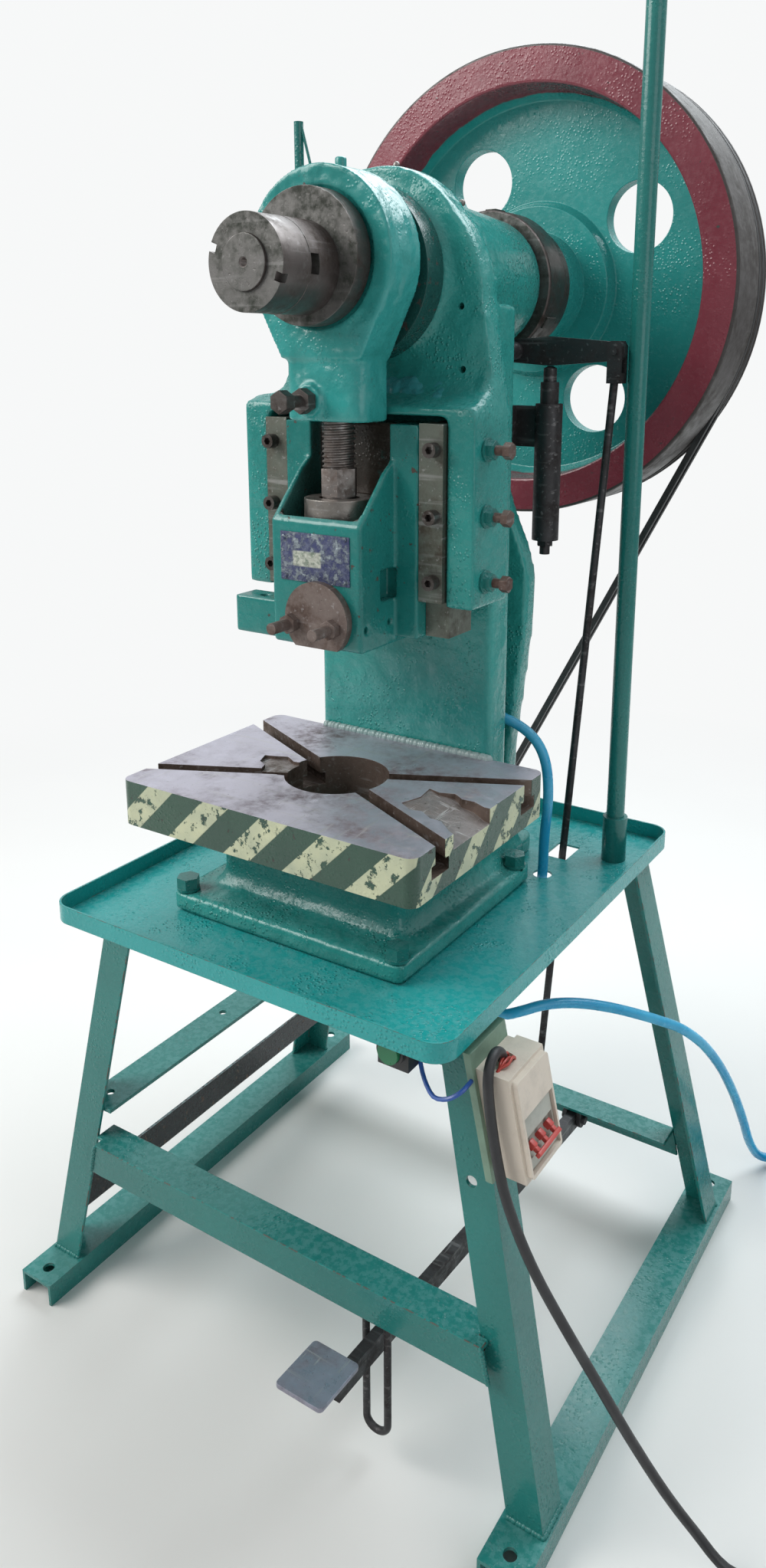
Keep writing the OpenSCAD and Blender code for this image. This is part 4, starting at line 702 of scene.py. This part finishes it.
# Connecting rod. A green iron casting round the shaft, with an oil cup on top. The ball screw goes
# up into its foot, where a bolt across the split clamps it; the screw has a coarse cut thread.
rod_enamel = enamel("rod_enamel", (0.042, 0.335, 0.320), deep_green,
                    lumps=1.4, spatter=0.12, chips=0.45, dust=0.2, depth=0.0040)
cast_finish("connecting_rod", rod_enamel, grain=2.2, rounds=3)
deselect()
bpy.ops.mesh.primitive_cylinder_add(vertices=24, radius=0.0055, depth=0.016, location=at(10, 95, 1302.5))
oil_cup = put_down("oil_cup")
use(oil_cup, "BEVEL", width=0.0022, segments=3)
bpy.ops.object.shade_smooth_by_angle(angle=math.radians(40))
oil_cup.data.materials.append(rod_enamel)
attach(oil_cup, "rod")
ball_screw = finished("ball_screw", "bright_steel", bare_steel, soft=0.8)
screw_y, shank_from, crest_r, core_r = at(0, 100, 0).y, 1.0166, 17, 15
for vertex in ball_screw.data.vertices:
    reach = math.hypot(vertex.co.x, vertex.co.y - screw_y)
    if vertex.co.z > shank_from and reach < (crest_r + 0.3) / 1000:
        vertex.co.x *= core_r / crest_r
        vertex.co.y = screw_y + (vertex.co.y - screw_y) * core_r / crest_r
deselect()
bpy.ops.mesh.primitive_circle_add(vertices=4, radius=1, fill_type="NOTHING", location=(0, 0, 0))
screw_thread = bpy.context.object
screw_thread.name = "screw_thread"
tooth = ((14.6, 0.2), (crest_r, 1.9), (crest_r, 2.7), (14.6, 4.4))
for vertex, (reach, height) in zip(screw_thread.data.vertices, tooth):
    vertex.co = (reach / 1000, 0, height / 1000)
use(screw_thread, "SCREW", screw_offset=0.005, iterations=11, steps=28, render_steps=28,
    use_merge_vertices=True)
screw_thread.data.transform(Matrix.Translation(at(0, 100, 1014)))
bpy.ops.object.mode_set(mode="EDIT")
bpy.ops.mesh.select_all(action="SELECT")
bpy.ops.mesh.normals_make_consistent(inside=False)
bpy.ops.object.mode_set(mode="OBJECT")
bpy.ops.object.shade_smooth_by_angle(angle=math.radians(25))
screw_thread.data.materials.append(bare_steel)
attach(screw_thread, "rod")
finished("clamp_bolt", "dark_steel", dark_steel, soft=0.8)


# Shaft and clutch. Turned steel, oiled and brown in the corners, with a mottled skin on the faces
# and a dark green colour behind the rod. A thin dark ring of painted shade lies where the slotted nut
# meets the jaw ring.
turned_steel = worn_steel("turned_steel", (0.145, 0.125, 0.12), (0.055, 0.042, 0.036),
                          stains=0.6, scratches=0.12, pits=0.25, duller=0.06)
faced_steel = worn_steel("faced_steel", (0.155, 0.150, 0.146), (0.050, 0.054, 0.046),
                         stains=1.0, scratches=0.15, pits=0.4, metal=0.75, duller=0.12)
dark_green_behind_rod = enamel("dark_green_behind_rod", (0.014, 0.080, 0.072), (0.010, 0.040, 0.036),
                     lumps=0.3, spatter=0.5, chips=0.9, dust=0.2, bare=(0.05, 0.04, 0.035))
is_turned, is_faced, is_painted = range(3)
shaft_z, shaft_painted_from = 1.208, -0.155
for turned in ("crankshaft", "shaft_nut", "jaw_ring", "clutch_ring"):
    piece = finished(turned, "bright_steel", turned_steel, faced_steel, dark_green_behind_rod, soft=0.9)
    for face in piece.data.polygons:
        behind_rod = turned == "crankshaft" and shaft_painted_from < face.center.y < 0
        face.material_index = is_painted if behind_rod else is_faced if face.normal.y < -0.8 else is_turned
    if turned == "jaw_ring":
        seam_y = min(vertex.co.y for vertex in piece.data.vertices)
        seam_r = max(math.hypot(vertex.co.x, vertex.co.z - shaft_z) for vertex in piece.data.vertices)
# A thin dark ring in the gap where the slotted nut meets the jaw ring: painted shade.
deselect()
bpy.ops.mesh.primitive_torus_add(major_radius=seam_r - 0.0004, minor_radius=0.0009, major_segments=72,
                                 minor_segments=8, location=(0, seam_y, shaft_z),
                                 rotation=(math.radians(90), 0, 0))
nut_gap_shade = put_down("nut_gap_shade")
bpy.ops.object.shade_smooth()
nut_gap_shade.data.materials.append(dark_steel)
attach(nut_gap_shade, "crank")
finished("flywheel_cap", "dark_steel", dark_steel, soft=0.8)


# Flywheel. A turned iron wheel with four holes. Its web and hub are green, the face of its rim is
# crimson, knocked and chipped, and the grooved outside is bare and dark from the belts.
def diagonal(tree, a, b):
    """The straight distance made up of a one way and b square to it."""
    return sums(tree, "SQRT", plus(tree, times(tree, a, a), times(tree, b, b)))


fly_paint, tree, shader, where = new_material("fly_paint")
green = put(tree, "ShaderNodeGroup", {"node_tree": enamel_group}, Where=where,
            Enamel=(0.030, 0.320, 0.300, 1), Shade=(0.020, 0.245, 0.230, 1), Bare=(0.05, 0.045, 0.04, 1),
            Lumps=0.2, Spatter=0.3, Chips=0.2, Dust=0.1)
red = put(tree, "ShaderNodeGroup", {"node_tree": enamel_group}, Where=where,
          Enamel=(0.260, 0.050, 0.070, 1), Shade=(0.175, 0.030, 0.045, 1), Bare=(0.05, 0.06, 0.055, 1),
          Lumps=0.3, Spatter=0.3, Chips=0.6, Dust=0.15)
part = put(tree, "ShaderNodeSeparateXYZ", i0=where)
reach = diagonal(tree, part.outputs[0], less(tree, part.outputs[2], shaft_z))
wander = times(tree, less(tree, noise(tree, where, 40, 3), 0.5), 0.004)
on_rim = span(tree, plus(tree, reach, wander), 0.2325, 0.2335)
feed(tree, shader, Base_Color=tint(tree, on_rim, green.outputs["Color"], red.outputs["Color"]),
     Roughness=green.outputs["Roughness"])
emboss(tree, shader, 0.8, 0.0016, green.outputs["Height"])
groove_steel = worn_steel("groove_steel", (0.050, 0.043, 0.042), (0.03, 0.024, 0.02),
                          stains=0.5, scratches=0.05, pits=0.2, metal=0.2, duller=0.05)
flywheel = finished("flywheel", "flywheel_enamel", fly_paint, groove_steel, soft=1.5)
rim_outside, groove_floor = 0.2775, 0.264
for face in flywheel.data.polygons:
    reach = math.hypot(face.center.x, face.center.z - shaft_z)
    if reach > rim_outside or (reach > groove_floor and abs(face.normal.y) < 0.99):
        face.material_index = 1


# Belt drive. Two rubber vee belts go down from the wheel to the steel pulley of a small painted
# motor, which hangs on its bracket under the tray.
belt_rubber = rubber("belt_rubber", (0.020, 0.020, 0.021), gloss=0.5, grain=500)
finished("v_belts", "belt_rubber", belt_rubber, soft=0.8)
motor_enamel = enamel("motor_enamel", (0.030, 0.10, 0.085), (0.02, 0.07, 0.06),
                      lumps=0.2, spatter=0.4, chips=0.4, dust=0.6)
finished("motor", "motor_enamel", motor_enamel, soft=1.2)
finished("motor_pulley", "bright_steel", bare_steel, soft=0.8)


# Trip gear and pedal. Plain forged and turned steel, black with oil: a pull rod joins the pedal's
# arm to the lever at the head, and a housed spring brings both back. Feet keep the plate bright.
black_iron = worn_steel("black_iron", (0.045, 0.045, 0.048), (0.025, 0.02, 0.02),
                        stains=0.6, scratches=0.2, pits=0.3, metal=0.6, duller=0.08)
for linked in ("trip_stud", "trip_lever", "pull_rod", "spring_housing", "spring_plunger", "pedal_guide",
               "pedal_bearing"):
    finished(linked, "dark_steel", black_iron, soft=0.7)
pedal_steel = worn_steel("pedal_steel", (0.34, 0.34, 0.42), (0.15, 0.14, 0.16),
                         stains=0.4, scratches=0.7, pits=0.3, metal=0.6)
finished("pedal_arm", "black_iron", black_iron, soft=0.8)
finished("pedal_plate", "black_iron", pedal_steel, soft=1.0)


# Switch box. A moulded box of cream plastic, screwed to a green plate on the leg, with a grey
# three-pole breaker in its window.
def plastic(name, colour, gloss, dirt):
    """Moulded plastic, handled and a little dirty."""
    material, tree, shader, where = new_material(name)
    grime = times(tree, span(tree, noise(tree, where, 34, 6, 0.65), 0.48, 0.8), dirt)
    dull = tuple(c * 0.55 for c in colour)
    rubbed = span(tree, noise(tree, where, 90, 4), 0.3, 0.7, gloss - 0.06, gloss + 0.12)
    feed(tree, shader, Base_Color=tint(tree, grime, colour, dull), Roughness=rubbed)
    emboss(tree, shader, 0.3, 0.0003, noise(tree, where, 700, 2))
    return material


cream = plastic("cream", (0.66, 0.58, 0.49), gloss=0.42, dirt=0.6)
finished("switch_box", "cream_plastic", cream, soft=1.6)
finished("box_plate", "cream_plastic", plastic("back_plate", (0.20, 0.31, 0.23), gloss=0.5, dirt=0.8),
         soft=0.8)
finished("breaker", "grey_plastic", plastic("breaker_grey", (0.42, 0.43, 0.38), gloss=0.45, dirt=0.6),
         soft=0.6)


# Breaker lever. Three red plastic toggles on one shaft, each a hub and a finger, tied by a bar
# across their ends so that they flip together.
toggle_red = plastic("toggle_red", (0.52, 0.065, 0.055), gloss=0.32, dirt=0.5)
toggle_pivot, toggle_tilt = at(302.675, 0, 434), math.radians(32)
poles = [-31 + 17 * i for i in range(3)]
toggle_parts = [((0, y, 0), (7.6, 6.4, 7.6)) for y in poles]
toggle_parts += [((5.2, y, 0), (9, 5.0, 4.6)) for y in poles]
toggle_parts += [((10.4, poles[1], 0.4), (4.4, 44, 5.6))]
pose = Matrix.Translation(toggle_pivot) @ Matrix.Rotation(toggle_tilt, 4, "Y")
blocks = []
for place, size in toggle_parts:
    deselect()
    bpy.ops.mesh.primitive_cube_add(size=1, location=(0, 0, 0))
    shape = Matrix.Translation(Vector(place) / 1000) @ Matrix.Diagonal((*[v / 1000 for v in size], 1))
    bpy.context.object.data.transform(pose @ shape)
    blocks.append(bpy.context.object)
breaker_lever = joined(blocks)
breaker_lever.name = "breaker_lever"
use(breaker_lever, "BEVEL", width=0.0008, segments=3)
bpy.ops.object.shade_smooth_by_angle(angle=math.radians(40))
breaker_lever.data.materials.append(toggle_red)
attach(breaker_lever, "toggle")
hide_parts("breaker_toggle")


# Small electrics. A push station with a green button hangs under the tray, and the mains cable
# ends in a moulded plug. Both are black plastic; thin blue and red wires run into the box.
black_plastic = plastic("black_plastic", (0.022, 0.022, 0.024), gloss=0.35, dirt=0.3)
finished("push_station", "black_plastic", black_plastic, soft=1.0)
finished("push_button", "black_plastic", plastic("button_green", (0.015, 0.17, 0.07), gloss=0.3, dirt=0.4),
         soft=0.9)
power_plug = finished("power_plug", "black_plastic", black_plastic, soft=0.8)
finished("control_wire", "wire_plastic", plastic("wire_blue", (0.03, 0.10, 0.38), gloss=0.3, dirt=0.3),
         soft=0)
wire_red = plastic("wire_red", (0.45, 0.05, 0.035), gloss=0.3, dirt=0.3)
for number, (shift, lift) in enumerate(((0, 0), (4, 2), (-3, 3.5)), start=1):
    tail = eased_route([(270 + shift, -13, 496), (271 + shift, -16, 503 + lift),
                        (272 + shift, -23, 507 + lift), (272 + shift, -31, 507),
                        (271, -38, 504), (270, -45, 499)], 5)
    supply_wire = cord_curve(f"supply_wire_{number}", tail, radius=1.5, material=wire_red)[0]
    deselect()
    supply_wire.select_set(True)
    bpy.context.view_layer.objects.active = supply_wire
    bpy.ops.object.convert(target="MESH")
    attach(bpy.context.object, "frame")


# Hose fitting. A turned brass nipple with a hexagon, screwed into the frame's web. The air hose is
# pushed on to it.
brass = worn_steel("brass", (0.62, 0.44, 0.18), (0.20, 0.13, 0.06),
                   stains=0.4, scratches=0.3, pits=0.2, metal=1.0)
finished("hose_fitting", "fitting_brass", brass, soft=0.6)


# Studio. A pale floor that fades into a white surround, a soft key lamp from the left and above, a
# cool one over the back, and a weak fill from the right.
deselect()
bpy.ops.mesh.primitive_plane_add(size=30, location=(0, 0, 0))
floor = bpy.context.object
floor.name = "studio_floor"
floor_paint, tree, shader, where = new_material("floor_paint")
broad = span(tree, noise(tree, where, 1.3, 3), 0.3, 0.7)
feed(tree, shader, Base_Color=tint(tree, broad, (0.70, 0.69, 0.67), (0.74, 0.73, 0.71)))
shader.inputs["Roughness"].default_value = 0.65
part = put(tree, "ShaderNodeSeparateXYZ", i0=where)
away = diagonal(tree, part.outputs[0], part.outputs[1])
far_off = times(tree, span(tree, away, 0.9, 2.4), put(tree, "ShaderNodeLightPath").outputs["Is Camera Ray"])
surround = (0.93, 0.94, 0.94, 1.0)
pale = put(tree, "ShaderNodeEmission", Color=surround, Strength=1.0)
laid = put(tree, "ShaderNodeMixShader", i0=far_off, i1=shader.outputs[0], i2=pale.outputs[0])
tree.links.new(laid.outputs[0], tree.nodes["Material Output"].inputs["Surface"])
floor.data.materials.append(floor_paint)


def soft_lamp(name, place, aim, size, power, colour):
    """A rectangle of light, size metres, that faces the point aim."""
    deselect()
    bpy.ops.object.light_add(type="AREA", location=place)
    lamp = bpy.context.object
    lamp.name = name
    lamp.data.shape = "RECTANGLE"
    lamp.data.size, lamp.data.size_y = size
    lamp.data.energy = power
    lamp.data.color = colour
    lamp.rotation_euler = (Vector(aim) - Vector(place)).to_track_quat("-Z", "Y").to_euler()


soft_lamp("key", place=(-2.6, -2.2, 3.2), aim=(0, 0, 0.8), size=(2.8, 2.4), power=150,
          colour=(1.0, 0.98, 0.95))
soft_lamp("sky", place=(0.2, 1.8, 3.6), aim=(0, 0, 0.7), size=(3.8, 2.4), power=150, colour=(0.88, 0.96, 1.0))
soft_lamp("fill", place=(3.0, -1.2, 1.6), aim=(0, 0, 0.7), size=(2.0, 2.0), power=16,
          colour=(0.96, 0.98, 1.0))
world = bpy.data.worlds.new("studio")
bpy.context.scene.world = world
world.use_nodes = True
tree = world.node_tree
background = tree.nodes["Background"]
background.inputs["Color"].default_value = (0.86, 0.90, 0.94, 1.0)
background.inputs["Strength"].default_value = 0.34
rays = put(tree, "ShaderNodeLightPath")
seen = put(tree, "ShaderNodeBackground", Color=surround, Strength=1.0)
rise = put(tree, "ShaderNodeSeparateXYZ", i0=put(tree, "ShaderNodeTexCoord").outputs["Generated"]).outputs[2]
shone = put(tree, "ShaderNodeBackground", Color=(0.93, 0.96, 0.97, 1.0),
            Strength=span(tree, rise, 0.0, 0.45, 0.35, 1.0))
shining = put(tree, "ShaderNodeMixShader", i0=rays.outputs["Is Glossy Ray"], i1=background.outputs[0],
              i2=shone.outputs[0])
chosen = put(tree, "ShaderNodeMixShader", i0=rays.outputs["Is Camera Ray"], i1=shining.outputs[0],
             i2=seen.outputs[0])
tree.links.new(chosen.outputs[0], tree.nodes["World Output"].inputs["Surface"])
bpy.context.scene.view_settings.view_transform = "Standard"
